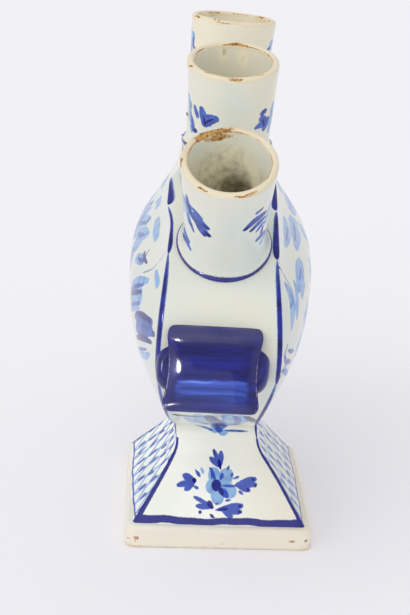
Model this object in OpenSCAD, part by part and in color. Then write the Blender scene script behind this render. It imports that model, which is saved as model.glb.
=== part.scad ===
// Fan-shaped flower vase in tin-glazed earthenware: five spouts over a flattened, bulging body.
// X runs along the row of spouts, Y is the thickness and Z is up.
// The origin is the middle of the square that the foot stands on.

/* [Body] */
// Width of the body over its two edge strips
body_w = 182.8; // [174:0.2:192]
// Thickness of the body at the fullest part of its two faces
belly_t = 72.2; // [62:0.2:84]
// Height of the fullest part of the faces
belly_z = 114; // [100:0.5:125]
// How soon the faces fall away from their fullest part towards the shoulder: high is sooner
belly_fall_up = 7.8; // [4:0.1:10]
// How soon they fall away towards the waist: high is sooner
belly_fall_down = 3.5; // [2:0.1:5]
// How flat the crown of the faces is, up and down: high is flatter
belly_crown = 2.6; // [2.2:0.1:3.2]
// How flat the faces are from side to side before they turn down to the strip: high is flatter
belly_breadth = 2.3; // [1.8:0.1:3]
// Radius of the arched shoulder that carries the spouts
shoulder_r = 132.4; // [125:0.2:140]
// Radius of the turn from the shoulder into the sides
corner_r = 26; // [18:0.5:30]
// Radius of the sides where they draw in under the handles
side_r = 216; // [150:1:400]
// Radius of the hollow in which the sides end above the waist
waist_r = 10; // [8:0.5:16]
// Wall thickness of the body
body_wall = 4.6; // [3.5:0.1:6]
// Thickness of the floor of the water chamber
floor_t = 6; // [4:0.1:9]

/* [Edge strip] */
// Width of the strip between the two faces, at the top of the body
strip_top_w = 37.2; // [33:0.1:40]
// Width of the strip at the handles, where it is widest
strip_side_w = 42.2; // [38:0.1:46]
// Width of the strip at the waist
strip_waist_w = 33.8; // [31:0.1:37]
// Height at which the strip is widest
strip_side_z = 100.5; // [85:0.5:110]
// Width of the slabs that close the body between its two pressed faces
slab_w = 28; // [24:0.5:29.5]

/* [Spouts] */
// Height of the point on the middle line where the axes of the spouts would meet
fan_z = 27.4; // [20:0.1:36]
// Angle between neighbouring spouts
fan_step = 16; // [14.5:0.1:17]
// Length of the middle spout above the shoulder
middle_spout_l = 49; // [35:0.5:60]
// Length of the two spouts beside it
inner_spout_l = 47; // [35:0.5:60]
// Length of the two outermost spouts
outer_spout_l = 40.5; // [30:0.5:55]
// Outer diameter of a spout at its mouth
spout_mouth_d = 32; // [29:0.1:35]
// Outer diameter of a spout at its root
spout_root_d = 28.6; // [26:0.1:30]
// Inner diameter of a spout at its root, and of the hole under it
spout_bore_d = 21; // [18:0.1:23]
// Wall thickness of a spout at its mouth
lip_wall = 2.5; // [1.8:0.1:3.5]
// Diameter of the collar that is worked round the root of a spout
collar_d = 33.5; // [31:0.1:36]
// Height of that collar on the spout
collar_h = 11; // [6:0.5:15]
// Thickness of the collar at its outer edge
collar_edge = 0.8; // [0.5:0.1:1.5]

/* [Handles] */
// Width of a handle strap at its top and bottom
strap_w = 33.6; // [30:0.1:36]
// Thickness of the strap
strap_t = 4.6; // [3.5:0.1:6]
// How far each side of the strap is drawn in at its waist
strap_waist = 1.8; // [0.6:0.1:2.6]
// Height of the top of the strap
strap_top_z = 116.5; // [112:0.5:120]
// Height of the strap from its top to its out-turned lip
strap_h = 26.5; // [23:0.5:30]
// Radius of the hollow front of the strap
strap_hollow_r = 37; // [30:0.5:50]
// How far the strap stands off the body at its top
strap_reach = 5.5; // [4:0.1:8]
// Height of the root that joins the top of the strap to the body
strap_root_h = 8; // [6:0.5:12]
// How much the strap's lip swells beyond the sheet
strap_lip_swell = 0.6; // [0:0.1:1.5]
// Radius of the strap's corners, seen from the front
strap_corner_r = 3.5; // [1:0.1:6]
// Radius of the strap's top front edge
strap_edge_r = 2.2; // [0.5:0.1:4]
// Diameter of the roll behind the strap
roll_d = 18; // [15:0.1:20]
// Length of that roll
roll_l = 38.4; // [36.5:0.1:42]
// Height of the roll's axis
roll_z = 100.5; // [97:0.5:103]
// Depth to which the roll is pressed against the back of the strap
roll_bite = 2; // [0.5:0.1:4]
// Radius of the roll's rounded ends
roll_end_r = 4; // [1:0.1:6]

/* [Foot] */
// Height of the waist, where the body stands on the foot
waist_z = 39.4; // [36:0.1:44]
// Width of the waist along the row of spouts
waist_l = 37; // [32:0.2:46]
// Width of the flared foot at its bottom, along the row of spouts
foot_l = 74; // [66:0.1:76]
// Width of the flared foot at its bottom, front to back
foot_w = 70.4; // [64:0.1:74]
// Radius of the hollow curve where the foot leaves the waist
foot_hollow_r = 12; // [8:0.5:20]
// Wall thickness of the foot
foot_wall = 5.2; // [4:0.1:7]
// Height of the plinth under the foot
plinth_h = 9.3; // [7:0.1:13]
// How far the plinth stands out beyond the foot on each side
plinth_ledge = 3.2; // [1.5:0.1:4]
// Width of the plinth's frame
plinth_frame = 10; // [8.5:0.1:14]
// Radius of the plinth's upright corners
plinth_corner_r = 4; // [2:0.1:6]
// Radius of the plinth's top edges
plinth_edge_r = 2; // [1:0.1:3]

/* [Hidden] */
$fn = 96;
fine_fn = 192;
glaze = "#e9e6d8";
cobalt = "#2c2f7f";

// Steps along each stretch of the body's outline, and rings across a face
shoulder_steps = 14;
corner_steps = 8;
side_steps = 12;
waist_steps = 6;
floor_steps = 4;
face_rings = 11;

// Least height of a pressed face's inner rim above its seam
seam_lip = 0.8;

// Length of shoulder slab beyond the outermost collars
shoulder_margin = 5;

// Steps along a spout's flare and along a small hollow, and how hollow the flare is
flare_steps = 8;
collar_steps = 8;
flare_hollow = 0.35;

// Room that a cutting shape has beyond what it cuts
over = 10;

fan_centre = [0, fan_z];
top_z = fan_z + shoulder_r;
seam_y = slab_w / 2;

// Centres of the outline's arcs, each tangent to the next: shoulder, corner, side and hollow waist
corner_turn = acos((body_w / 2 - corner_r) / (shoulder_r - corner_r));
corner_centre = fan_centre + (shoulder_r - corner_r) * [cos(corner_turn), sin(corner_turn)];
waist_centre = [waist_l / 2 + waist_r, waist_z];
waist_span = norm(waist_centre - corner_centre);
waist_way = (waist_centre - corner_centre) / waist_span;
side_along = (pow(side_r - corner_r, 2) - pow(side_r + waist_r, 2) + pow(waist_span, 2)) / (2 * waist_span);
side_across = sqrt(pow(side_r - corner_r, 2) - pow(side_along, 2));
side_centre = corner_centre + side_along * waist_way + side_across * [waist_way.y, -waist_way.x];
side_start = atan2(corner_centre.y - side_centre.y, corner_centre.x - side_centre.x);
side_end = atan2(waist_centre.y - side_centre.y, waist_centre.x - side_centre.x);
side_start_z = corner_centre.y + corner_r * sin(side_start);
side_end_z = waist_z - waist_r * sin(side_end);
corner_start_z = corner_centre.y + corner_r * sin(corner_turn);

function arc(c, r, from, to, steps) =
  [for (i = [0:steps]) c + r * [cos(from + (to - from) * i / steps), sin(from + (to - from) * i / steps)]];
function without_first(list) = [for (i = [1:len(list) - 1]) list[i]];
function mirrored(list) = [for (i = [len(list) - 1:-1:0]) [-list[i].x, list[i].y]];
function mix(a, b, t) = a + (b - a) * t;
function ease(t) = t * t * (3 - 2 * t);

// Right half of the body's outline, set in by a wall and raised by a floor, from the top to the waist
function half_outline(wall, rise) = concat(
  arc(fan_centre, shoulder_r - wall, 90, corner_turn, shoulder_steps),
  without_first(arc(corner_centre, corner_r - wall, corner_turn, side_start, corner_steps)),
  without_first(arc(side_centre, side_r - wall, side_start, side_end, side_steps)),
  without_first(arc(waist_centre, waist_r + wall, side_end + 180,
    180 - asin(rise / (waist_r + wall)), waist_steps)));
function floor_line(a, b) = [for (i = [1:2 * floor_steps - 1]) mix(a, b, i / (2 * floor_steps))];
function outline(wall, rise) =
  let (right = half_outline(wall, rise), left = mirrored(without_first(right)))
  concat(right, floor_line(right[len(right) - 1], left[0]), left);

// Half width of the edge strip at a height
function strip_half(z) = z > strip_side_z
  ? mix(strip_side_w, strip_top_w, ease(min(1, (z - strip_side_z) / (top_z - strip_side_z)))) / 2
  : mix(strip_side_w, strip_waist_w, ease(min(1, (strip_side_z - z) / (strip_side_z - waist_z)))) / 2;

// Half length of the body at a height, by the arc that the height falls on
function leg(r, rise) = sqrt(max(0, r * r - rise * rise));
function half_length(z) =
  z > corner_start_z ? leg(shoulder_r, z - fan_z)
  : z > side_start_z ? corner_centre.x + leg(corner_r, z - corner_centre.y)
  : z > side_end_z ? side_centre.x + leg(side_r, z - side_centre.y)
  : waist_centre.x - leg(waist_r, z - waist_z);

// How far a face stands out from the middle plane: full at the belly, down to the strip all round
function fall(z) = z > belly_z
  ? pow(1 - pow(min(1, (z - belly_z) / (top_z - belly_z)), belly_crown), belly_fall_up)
  : pow(1 - pow(min(1, (belly_z - z) / (belly_z - waist_z)), belly_crown), belly_fall_down);
function swell(x, z) = fall(z) * (1 - pow(min(1, abs(x) / max(half_length(z), 1)), belly_breadth));
function face_y(x, z) = mix(strip_half(z), belly_t / 2, swell(x, z));
function lining_y(x, z) = max(seam_y + seam_lip, face_y(x, z) - body_wall);

// Rings of one pressed face, from its flat seam over the strip's edge and in to the middle
function ring(edge, t) = [for (p = edge) [mix(p.x, 0, t), mix(p.y, belly_z, t)]];
function seam_points(edge) = [for (p = edge) [p.x, seam_y, p.y]];
function skin_points(edge) = concat(seam_points(edge),
  [for (p = edge) [p.x, strip_half(p.y), p.y]],
  [for (k = [1:face_rings], p = ring(edge, k / (face_rings + 1))) [p.x, face_y(p.x, p.y), p.y]],
  [[0, belly_t / 2, belly_z]]);
function lining_points(edge) = concat(seam_points(edge),
  [for (k = [0:face_rings], p = ring(edge, k / (face_rings + 1))) [p.x, lining_y(p.x, p.y), p.y]],
  [[0, belly_t / 2 - body_wall, belly_z]]);

// Triangles over a stack of rings that ends in one point, counted from a first point
function side_faces(first, n, rings) = [for (k = [0:rings - 2], i = [0:n - 1])
  let (a = first + k * n + i, b = first + k * n + (i + 1) % n) each [[a, b, b + n], [a, b + n, a + n]]];
function cap_faces(first, n, rings) = [for (i = [0:n - 1])
  [first + (rings - 1) * n + i, first + (rings - 1) * n + (i + 1) % n, first + rings * n]];
function rim_faces(outer, inner, n) = [for (i = [0:n - 1])
  let (j = (i + 1) % n) each [[outer + i, inner + i, inner + j], [outer + i, inner + j, outer + j]]];
function flipped(faces) = [for (f = faces) [f[0], f[2], f[1]]];

// One pressed face of the body: a shallow dish with a rim that turns back to the seam
module pressed_face() {
  skin = skin_points(outline(0, 0));
  lining = lining_points(outline(body_wall, floor_t));
  n = len(outline(0, 0));
  stack = face_rings + 2;
  first = len(skin);
  polyhedron(
    points = concat(skin, lining),
    faces = concat(
      side_faces(0, n, stack), cap_faces(0, n, stack),
      flipped(side_faces(first, n, stack)), flipped(cap_faces(first, n, stack)),
      rim_faces(0, first, n)));
}

module back_panel() {
  color(glaze) pressed_face();
}

module front_panel() {
  color(glaze) mirror([0, 1, 0]) pressed_face();
}

// An upright shape drawn in X and Z, given a width in Y about the middle plane
module across(width) {
  rotate([90, 0, 0]) linear_extrude(width, center = true) children();
}

// The whole body as a block, for trimming what is luted on to it
module body_block() {
  across(belly_t + over) polygon(outline(0, 0));
}

// Section of the slabs that close the body all round
module slab_ring() {
  difference() {
    polygon(outline(0, 0));
    polygon(outline(body_wall, floor_t));
  }
}

module slab_ring_above_floor() {
  difference() {
    slab_ring();
    below_floor();
  }
}

// The wedge of the shoulder that holds the spouts, ending a little past the outermost collars
shoulder_turn = 2 * fan_step + asin((collar_d / 2 + shoulder_margin) / shoulder_r);
module shoulder_wedge() {
  low = (waist_z + top_z) / 2 - fan_z;
  high = shoulder_r + over;
  spread = tan(shoulder_turn);
  translate(fan_centre)
    polygon([low * [spread, 1], high * [spread, 1], high * [-spread, 1], low * [-spread, 1]]);
}

module below_floor() {
  translate([-body_w / 2, waist_z - over]) square([body_w, over + floor_t]);
}

module shoulder_slab() {
  color(glaze) difference() {
    across(slab_w) intersection() {
      slab_ring_above_floor();
      shoulder_wedge();
    }
    for (k = [-2:2]) on_fan(k) cylinder(d = spout_bore_d, h = 2 * (body_wall + over), center = true);
  }
}

module side_slab() {
  across(slab_w) difference() {
    intersection() {
      slab_ring_above_floor();
      translate([0, waist_z]) square([body_w, top_z]);
    }
    shoulder_wedge();
  }
}

module right_side_slab() {
  color(glaze) side_slab();
}

module left_side_slab() {
  color(glaze) mirror([1, 0, 0]) side_slab();
}

module body_floor() {
  color(glaze) across(slab_w) intersection() {
    slab_ring();
    below_floor();
  }
}

// Puts a shape on the shoulder, at one place of the fan, with Z along the spout's axis
module on_fan(k) {
  translate([0, 0, fan_z]) rotate([0, k * fan_step, 0]) translate([0, 0, shoulder_r]) children();
}

// Depth that a spout or collar reaches below the crown of the shoulder before it is trimmed to it
root_depth = shoulder_r - sqrt(pow(shoulder_r, 2) - pow(collar_d / 2, 2)) + body_wall;

// Radius of a spout's wall at a share of the way from its collar to its mouth, slightly hollow in its flare
function flared(root_r, mouth_r, t) = mix(root_r, mouth_r, mix(t, t * t, flare_hollow));

// A thrown spout with a rounded lip, trimmed to the shoulder
module spout(k, length) {
  lip_r = lip_wall / 2;
  lip_z = length - lip_r;
  steps = [0:flare_steps];
  wall = [for (i = steps) [flared(spout_root_d / 2, spout_mouth_d / 2, i / flare_steps),
    mix(collar_h, lip_z, i / flare_steps)]];
  bore = [for (i = steps) [flared(spout_bore_d / 2, spout_mouth_d / 2 - lip_wall, 1 - i / flare_steps),
    mix(lip_z, collar_h, i / flare_steps)]];
  root = [[spout_bore_d / 2, -root_depth], [spout_root_d / 2, -root_depth]];
  difference() {
    on_fan(k) rotate_extrude() {
      polygon(concat(root, wall, bore));
      translate([spout_mouth_d / 2 - lip_r, lip_z]) circle(r = lip_r);
    }
    body_block();
  }
}

module left_outer_spout() {
  color(glaze) spout(-2, outer_spout_l);
}

module left_inner_spout() {
  color(glaze) spout(-1, inner_spout_l);
}

module middle_spout() {
  color(glaze) spout(0, middle_spout_l);
}

module right_inner_spout() {
  color(glaze) spout(1, inner_spout_l);
}

module right_outer_spout() {
  color(glaze) spout(2, outer_spout_l);
}

// Roll of clay worked hollow into the angle between a spout and the shoulder
module collar(k) {
  root_r = spout_root_d / 2;
  edge_r = collar_d / 2;
  hollow = [for (i = [0:collar_steps]) let (a = 90 * i / collar_steps)
    [mix(edge_r, root_r, sin(a)), mix(collar_h, collar_edge, cos(a))]];
  difference() {
    on_fan(k) rotate_extrude() polygon(concat([[root_r, -root_depth], [edge_r, -root_depth]], hollow));
    body_block();
  }
}

module left_outer_collar() {
  color(glaze) collar(-2);
}

module left_inner_collar() {
  color(glaze) collar(-1);
}

module middle_collar() {
  color(glaze) collar(0);
}

module right_inner_collar() {
  color(glaze) collar(1);
}

module right_outer_collar() {
  color(glaze) collar(2);
}

// Centre of the hollow front of the strap, and of the rounded lip that ends it
strap_front_x = body_w / 2 + strap_reach;
strap_centre = [strap_front_x + strap_hollow_r, strap_top_z];
strap_lip_r = strap_t / 2 + strap_lip_swell;
strap_mid_r = strap_hollow_r + strap_t / 2;
strap_lip_z = strap_top_z - strap_h + strap_lip_r;
strap_turn = 180 + asin((strap_top_z - strap_lip_z) / strap_mid_r);
strap_lip_centre = strap_centre + strap_mid_r * [cos(strap_turn), sin(strap_turn)];

// Outline of the strap in X and Z: a root on the body, a hollow sheet and an out-turned lip
module strap_outline() {
  far = 2 * strap_hollow_r;
  root_x = body_w / 2 - over;
  difference() {
    union() {
      intersection() {
        translate(strap_centre) difference() {
          circle(r = strap_hollow_r + strap_t, $fn = fine_fn);
          circle(r = strap_hollow_r, $fn = fine_fn);
        }
        translate(strap_centre) polygon([[0, 0], [-far, 0], far * [cos(strap_turn), sin(strap_turn)]]);
      }
      translate(strap_lip_centre) circle(r = strap_lip_r);
      difference() {
        translate([root_x, strap_top_z - strap_root_h])
          square([strap_front_x + strap_t - root_x, strap_root_h]);
        translate(strap_centre) circle(r = strap_mid_r, $fn = fine_fn);
      }
    }
    translate([strap_front_x - strap_edge_r, strap_top_z - strap_edge_r]) difference() {
      square(2 * strap_edge_r);
      circle(r = strap_edge_r);
    }
    polygon(outline(0, 0));
  }
}

module rounded_square(size, r) {
  square([size.x, size.y - 2 * r], center = true);
  square([size.x - 2 * r, size.y], center = true);
  for (i = [-1, 1], j = [-1, 1]) translate([i * (size.x / 2 - r), j * (size.y / 2 - r)]) circle(r = r);
}

// A shape drawn in Y and Z, given a length along X from the middle
module lengthwise(length) {
  rotate([90, 0, 90]) linear_extrude(length) children();
}

// Front view of the strap, with rounded corners and sides that are drawn in
module strap_front() {
  draw_r = (pow(strap_h / 2, 2) + pow(strap_waist, 2)) / (2 * strap_waist);
  translate([0, strap_top_z - strap_h / 2]) difference() {
    rounded_square([strap_w, strap_h], strap_corner_r);
    for (i = [-1, 1]) translate([i * (strap_w / 2 - strap_waist + draw_r), 0])
      circle(r = draw_r, $fn = fine_fn);
  }
}

module handle_strap() {
  intersection() {
    across(strap_w) strap_outline();
    lengthwise(body_w) strap_front();
  }
}

module right_handle_strap() {
  color(cobalt) handle_strap();
}

module left_handle_strap() {
  color(cobalt) mirror([1, 0, 0]) handle_strap();
}

// The roll that fills the angle between the strap and the body, with rounded ends
roll_x = strap_centre.x
  - sqrt(pow(strap_hollow_r + strap_t + roll_d / 2 - roll_bite, 2) - pow(strap_top_z - roll_z, 2));
module handle_roll() {
  half_l = roll_l / 2;
  far_end = arc([roll_d / 2 - roll_end_r, half_l - roll_end_r], roll_end_r, 0, 90, collar_steps);
  near_end = [for (i = [len(far_end) - 1:-1:0]) [far_end[i].x, -far_end[i].y]];
  difference() {
    translate([roll_x, 0, roll_z]) rotate([90, 0, 0])
      rotate_extrude() polygon(concat([[0, -half_l]], near_end, far_end, [[0, half_l]]));
    across(roll_l + over) translate(strap_centre) circle(r = strap_hollow_r + strap_t, $fn = fine_fn);
    across(roll_l + over) translate([0, strap_top_z - strap_root_h]) square([body_w, strap_root_h]);
    body_block();
  }
}

module right_handle_roll() {
  color(cobalt) handle_roll();
}

module left_handle_roll() {
  color(cobalt) mirror([1, 0, 0]) handle_roll();
}

// Side line of the foot: a hollow curve out of the waist, then straight down to the plinth
function foot_line(waist_half, foot_half) =
  let (
    c = [waist_half + foot_hollow_r, waist_z],
    v = [foot_half, plinth_h] - c,
    turn = 360 + atan2(v.y, v.x) - acos(foot_hollow_r / norm(v)))
  concat(arc(c, foot_hollow_r, 180, turn, collar_steps), [[foot_half, plinth_h]]);

// A profile made of a side line and its mirror image, run on past both ends by an extra length
module foot_profile(line, extra) {
  last = len(line) - 1;
  side = concat([line[0] + [0, extra]], line, [line[last] - [0, extra]]);
  polygon(extra > 0 ? concat(side, mirrored(side)) : concat(line, mirrored(line)));
}

// The four-sided flare, set in by a wall
module foot_block(wall, extra) {
  intersection() {
    across(foot_w) foot_profile(foot_line(waist_l / 2 - wall, foot_l / 2 - wall), extra);
    translate([-foot_l / 2, 0, 0])
      lengthwise(foot_l) foot_profile(foot_line(strip_waist_w / 2 - wall, foot_w / 2 - wall), extra);
  }
}

module foot() {
  color(glaze) difference() {
    foot_block(0, 0);
    foot_block(foot_wall, over);
  }
}

// Upright profile of the plinth with rounded top edges
module plinth_profile(width) {
  e = plinth_edge_r;
  translate([-width / 2, 0]) square([width, plinth_h - e]);
  translate([e - width / 2, 0]) square([width - 2 * e, plinth_h]);
  for (i = [-1, 1]) translate([i * (width / 2 - e), plinth_h - e]) circle(r = e);
}

module plinth() {
  length = foot_l + 2 * plinth_ledge;
  width = foot_w + 2 * plinth_ledge;
  color(glaze) difference() {
    intersection() {
      linear_extrude(plinth_h) rounded_square([length, width], plinth_corner_r);
      across(width) plinth_profile(length);
      translate([-length / 2, 0, 0]) lengthwise(length) plinth_profile(width);
    }
    translate([0, 0, -over]) linear_extrude(plinth_h + 2 * over)
      rounded_square([length - 2 * plinth_frame, width - 2 * plinth_frame], plinth_corner_r);
  }
}

front_panel();
back_panel();
shoulder_slab();
right_side_slab();
left_side_slab();
body_floor();
left_outer_spout();
left_inner_spout();
middle_spout();
right_inner_spout();
right_outer_spout();
left_outer_collar();
left_inner_collar();
middle_collar();
right_inner_collar();
right_outer_collar();
right_handle_strap();
left_handle_strap();
right_handle_roll();
left_handle_roll();
foot();
plinth();
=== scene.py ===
import math
import bpy
import numpy as np
from mathutils import Matrix, Vector


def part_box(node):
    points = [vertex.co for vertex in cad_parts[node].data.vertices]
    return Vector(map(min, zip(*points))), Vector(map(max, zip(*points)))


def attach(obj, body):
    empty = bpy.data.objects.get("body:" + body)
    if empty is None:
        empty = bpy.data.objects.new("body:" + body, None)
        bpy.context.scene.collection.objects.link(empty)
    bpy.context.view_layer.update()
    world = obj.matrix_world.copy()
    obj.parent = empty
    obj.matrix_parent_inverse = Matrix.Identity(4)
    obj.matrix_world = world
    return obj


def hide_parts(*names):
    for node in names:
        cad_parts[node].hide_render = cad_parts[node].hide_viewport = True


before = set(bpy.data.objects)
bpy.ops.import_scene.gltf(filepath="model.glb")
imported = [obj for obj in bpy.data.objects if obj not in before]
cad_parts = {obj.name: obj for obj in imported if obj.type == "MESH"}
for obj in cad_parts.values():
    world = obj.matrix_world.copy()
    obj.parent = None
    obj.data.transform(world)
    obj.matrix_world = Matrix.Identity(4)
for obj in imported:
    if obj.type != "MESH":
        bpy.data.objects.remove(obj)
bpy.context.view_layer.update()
mm = 0.001  # shapes are worked out in millimetres
print("frame loaded:", len(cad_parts), "pieces of clay")


# Small helpers for shapes

def mix(a, b, t):
    return a + (b - a) * t


def ease(a, b, v):  # 0 at a, 1 at b, smooth in between
    t = np.clip((v - a) / (b - a), 0, 1)
    return t * t * (3 - 2 * t)


def plateau(start, full, fade, end, v):  # 0, then 1 from full to fade, then 0 again
    return ease(start, full, v) * ease(end, fade, v)


def hump(middle, spread, v):
    return np.exp(-((v - middle) / spread) ** 2)


def arc(centre, radius, start, end, count):
    turn = np.linspace(start, end, count)
    return np.asarray(centre) + radius * np.stack([np.cos(turn), np.sin(turn)], 1)


def leg(radius, rise):
    return np.sqrt(np.maximum(0, radius ** 2 - rise ** 2))


def quarter(radius, gap):  # how far a rounded corner falls back at this gap from the edge
    return radius - leg(radius, np.maximum(0, radius - gap))


def ripple(p, size, seed):  # slow waves with fixed phases, about -1 to 1
    draw = np.random.default_rng(seed)
    total = np.zeros(len(p))
    for _ in range(6):
        way = draw.normal(size=3)
        way *= 2 * math.pi * draw.uniform(0.6, 1.6) / size / np.linalg.norm(way)
        total += np.sin(p @ way + draw.uniform(0, 2 * math.pi))
    return total / 3


def blank(points):
    return np.zeros((len(points), 3))


def withDepth(flat, y):  # points from places in the x-z plane and their depth
    x, z = np.asarray(flat).T
    return np.stack(np.broadcast_arrays(x, y, z), 1)


# The vase was put together by hand: its foot sits a little askew under the body, and nothing is quite even.
# The edge of the front face swells beside the outer spout and is tucked in at the top.

handMade = dict(
    turnZ=(22.0, 64.0), footTurn=1.7, footShift=1.85, bodyTurn=-1.055, bodyShift=-1.26,
    uneven=0.2, waveSize=75.0, waveZ=(0.0, 20.0), footTilt=0.008, tiltZ=(0, 8, 12, 32),
    swell=2.2, swellX=(30, 40, 50, 66), swellY=(-28, -20, -18.6, -16.5), swellZ=(140, 148),
    tuck=1.5, tuckX=(36, 26), tuckY=(-4, -15), tuckZ=(150, 156, 161, 175))


def warp(p):
    made = handMade
    x, y, z = p.T
    share = ease(*made["turnZ"], z)
    turn = np.radians(mix(made["footTurn"], made["bodyTurn"], share))
    aside = mix(made["footShift"], made["bodyShift"], share)
    swell = plateau(*made["swellX"], x) * ease(*made["swellZ"], z) * plateau(*made["swellY"], y)
    tuck = ease(*made["tuckX"], np.abs(x)) * plateau(*made["tuckZ"], z) * ease(*made["tuckY"], y)
    bent = y - made["swell"] * swell + made["tuck"] * tuck
    tilt = made["footTilt"] * y * plateau(*made["tiltZ"], z)
    c, s = np.cos(turn), np.sin(turn)
    moved = np.stack([c * x - s * bent, s * x + c * bent + aside, z - tilt], 1)
    waves = np.stack([ripple(p, made["waveSize"], seed) for seed in (1, 2, 3)], 1)
    return moved + waves * made["uneven"] * ease(*made["waveZ"], z)[:, None]


# Meshes from rows of points

def gridFaces(rows, columns, ring):
    i, j = np.meshgrid(np.arange(rows if ring else rows - 1), np.arange(columns), indexing="ij")
    here, there = i * columns, (i + 1) % rows * columns
    k = (j + 1) % columns
    return np.stack([here + j, here + k, there + k, there + j], -1).reshape(-1, 4).tolist()


def stackRows(rows, poles=None, ring=False):  # loops of equal count, closed by poles or into a ring
    points = np.concatenate(rows)
    columns = len(rows[0])
    faces = gridFaces(len(rows), columns, ring)
    if not ring:
        poles = (rows[0].mean(0), rows[-1].mean(0)) if poles is None else poles
        first, last, top = len(points), len(points) + 1, len(points) - columns
        points = np.concatenate([points, poles])
        faces += [[first, (i + 1) % columns, i] for i in range(columns)]
        faces += [[top + i, top + (i + 1) % columns, last] for i in range(columns)]
    return points, faces


def outward(points, faces):  # turn all faces over if the shape is inside out
    volume = 0.0
    for size in (4, 3):
        corners = points[np.array([f for f in faces if len(f) == size], int).reshape(-1, size)]
        for i in range(1, size - 1):
            volume += np.sum(corners[:, 0] * np.cross(corners[:, i], corners[:, i + 1]))
    return faces if volume > 0 else [f[::-1] for f in faces]


def pointsOf(mesh):
    flat = np.empty(len(mesh.vertices) * 3, np.float32)
    mesh.vertices.foreach_get("co", flat)
    return flat.reshape(-1, 3).astype(float)


def putPoints(mesh, points):
    mesh.vertices.foreach_set("co", (warp(points) * mm).astype(np.float32).ravel())
    mesh.update()


def evaluated(maker):  # the mesh that an object's modifier makes; the object goes
    bpy.context.view_layer.update()
    mesh = bpy.data.meshes.new_from_object(maker.evaluated_get(bpy.context.evaluated_depsgraph_get()))
    bpy.data.objects.remove(maker)
    return mesh


def makePiece(name, points, faces, node, crease=48, finish="painted_glaze", **fields):
    mesh = bpy.data.meshes.new(name)
    mesh.from_pydata((warp(points) * mm).tolist(), [], outward(points, faces))
    dressPiece(name, mesh, node, crease, finish, **fields)


def dressPiece(name, mesh, node, crease=48, finish="painted_glaze", **fields):
    for title, values in fields.items():
        layer = mesh.attributes.new(title, "FLOAT_VECTOR", "POINT")
        layer.data.foreach_set("vector", values.astype(np.float32).ravel())
    mesh.shade_smooth()
    mesh.set_sharp_from_angle(angle=math.radians(crease))
    mesh.materials.clear()
    mesh.materials.append(finishes[finish])
    piece = bpy.data.objects.new(name, mesh)
    bpy.context.scene.collection.objects.link(piece)
    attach(piece, "root")
    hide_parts(node)


# Brushwork: every stroke is a path on the surface with half widths, in one of three strengths of blue.
# A point keeps how deep it lies in a stroke: 1 at the stroke's edge, more inside, 0 well away from it.

brush = dict(reach=1.2, dark=0, mid=1, pale=2)


def inStroke(depth):
    return np.clip(1 + depth / brush["reach"], 0, 2)


def paintField(places, strokes):
    field = blank(places)
    for tone, path, half in strokes:
        room = half.max() + brush["reach"]
        near = np.nonzero(((places > path.min(0) - room) & (places < path.max(0) + room)).all(1))[0]
        p = places[near]
        depth = np.full(len(near), -9.0)
        for a, b, ha, hb in zip(path[:-1], path[1:], half[:-1], half[1:]):
            d = b - a
            t = np.clip((p - a) @ d / max(d @ d, 1e-9), 0, 1)
            gap = np.hypot(*(p - a - t[:, None] * d).T)
            depth = np.maximum(depth, mix(ha, hb, t) - gap)
        layer = brush[tone]
        field[near, layer] = np.maximum(field[near, layer], inStroke(depth))
    return field


def sweep(start, angle, length, bend=0.0, count=7):  # a bending path from a point
    turn = np.radians(angle + bend * np.linspace(0, 1, count))
    steps = np.stack([np.cos(turn), np.sin(turn)], 1) * length / (count - 1)
    return np.asarray(start, float) + np.concatenate([[[0, 0]], np.cumsum(steps, 0)[:-1]])


def line(tone, path, width, spots=(0, 1), loads=(1, 1)):  # a drawn line, thicker where the brush was full
    path = np.asarray(path, float)
    return tone, path, width / 2 * np.interp(np.linspace(0, 1, len(path)), spots, loads)


def dab(tone, start, angle, length, width, bend=0.0):  # a press of the brush, thin root and full tip
    return line(tone, sweep(start, angle, length, bend), width, (0, 0.3, 0.75, 1), (0.15, 0.65, 1, 0.55))


def tick(tone, start, angle, length, width):  # a short stroke, pointed at both ends
    return line(tone, sweep(start, angle, length), width, (0, 0.4, 1), (0.3, 1, 0.35))


def dot(tone, place, radius):
    return line(tone, [place, np.add(place, (0.01, 0))], 2 * radius)


def stroke(tone, knots):  # a curved stroke: each knot is a place and the width there
    for _ in range(2):
        cuts = [mix(knots[:-1], knots[1:], share) for share in (0.25, 0.75)]
        knots = np.concatenate([knots[:1], np.stack(cuts, 1).reshape(-1, 3)[1:-1], knots[-1:]])
    return tone, knots[:, :2], knots[:, 2] / 2


def marksOf(tones):
    return [(tone, *mark) for tone, marks in tones.items() for mark in marks]


def drawn(tones, across=1, start=0.0, fuller=1.0):  # strokes from lists of knots, mirrored, moved or widened
    return [stroke(tone, np.reshape(knots, (-1, 3)) * [across, 1, fuller] + [start, 0, 0])
            for tone, *knots in marksOf(tones)]


def leafGroup(start, angle, length, width, spread):  # three leaves with a dark vein
    strokes = [line("dark", sweep(start, angle, length * 0.45, 0, 4), width * 0.34, loads=(1, 0.3))]
    for off in (-1, 0, 1):
        reach = length * (1 - 0.13 * abs(off))
        strokes.append(dab("mid", start, angle + off * spread, reach, width, off * 9))
    return strokes


def blossom(place, radius, petals=5, turn=0.0):
    strokes = [dot("dark", place, radius * 0.23)]
    for i in range(petals):
        a = turn + 360 * i / petals
        gap = a + 180 / petals
        strokes.append(dab("pale", sweep(place, a, radius * 0.25)[-1], a, radius * 0.75, radius * 0.82))
        strokes.append(tick("mid", sweep(place, gap, radius * 0.45)[-1], gap, radius * 0.5, 0.5))
    return strokes


# Nodes are written as expressions: a wire holds a socket, and arithmetic on wires adds Math nodes

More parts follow.
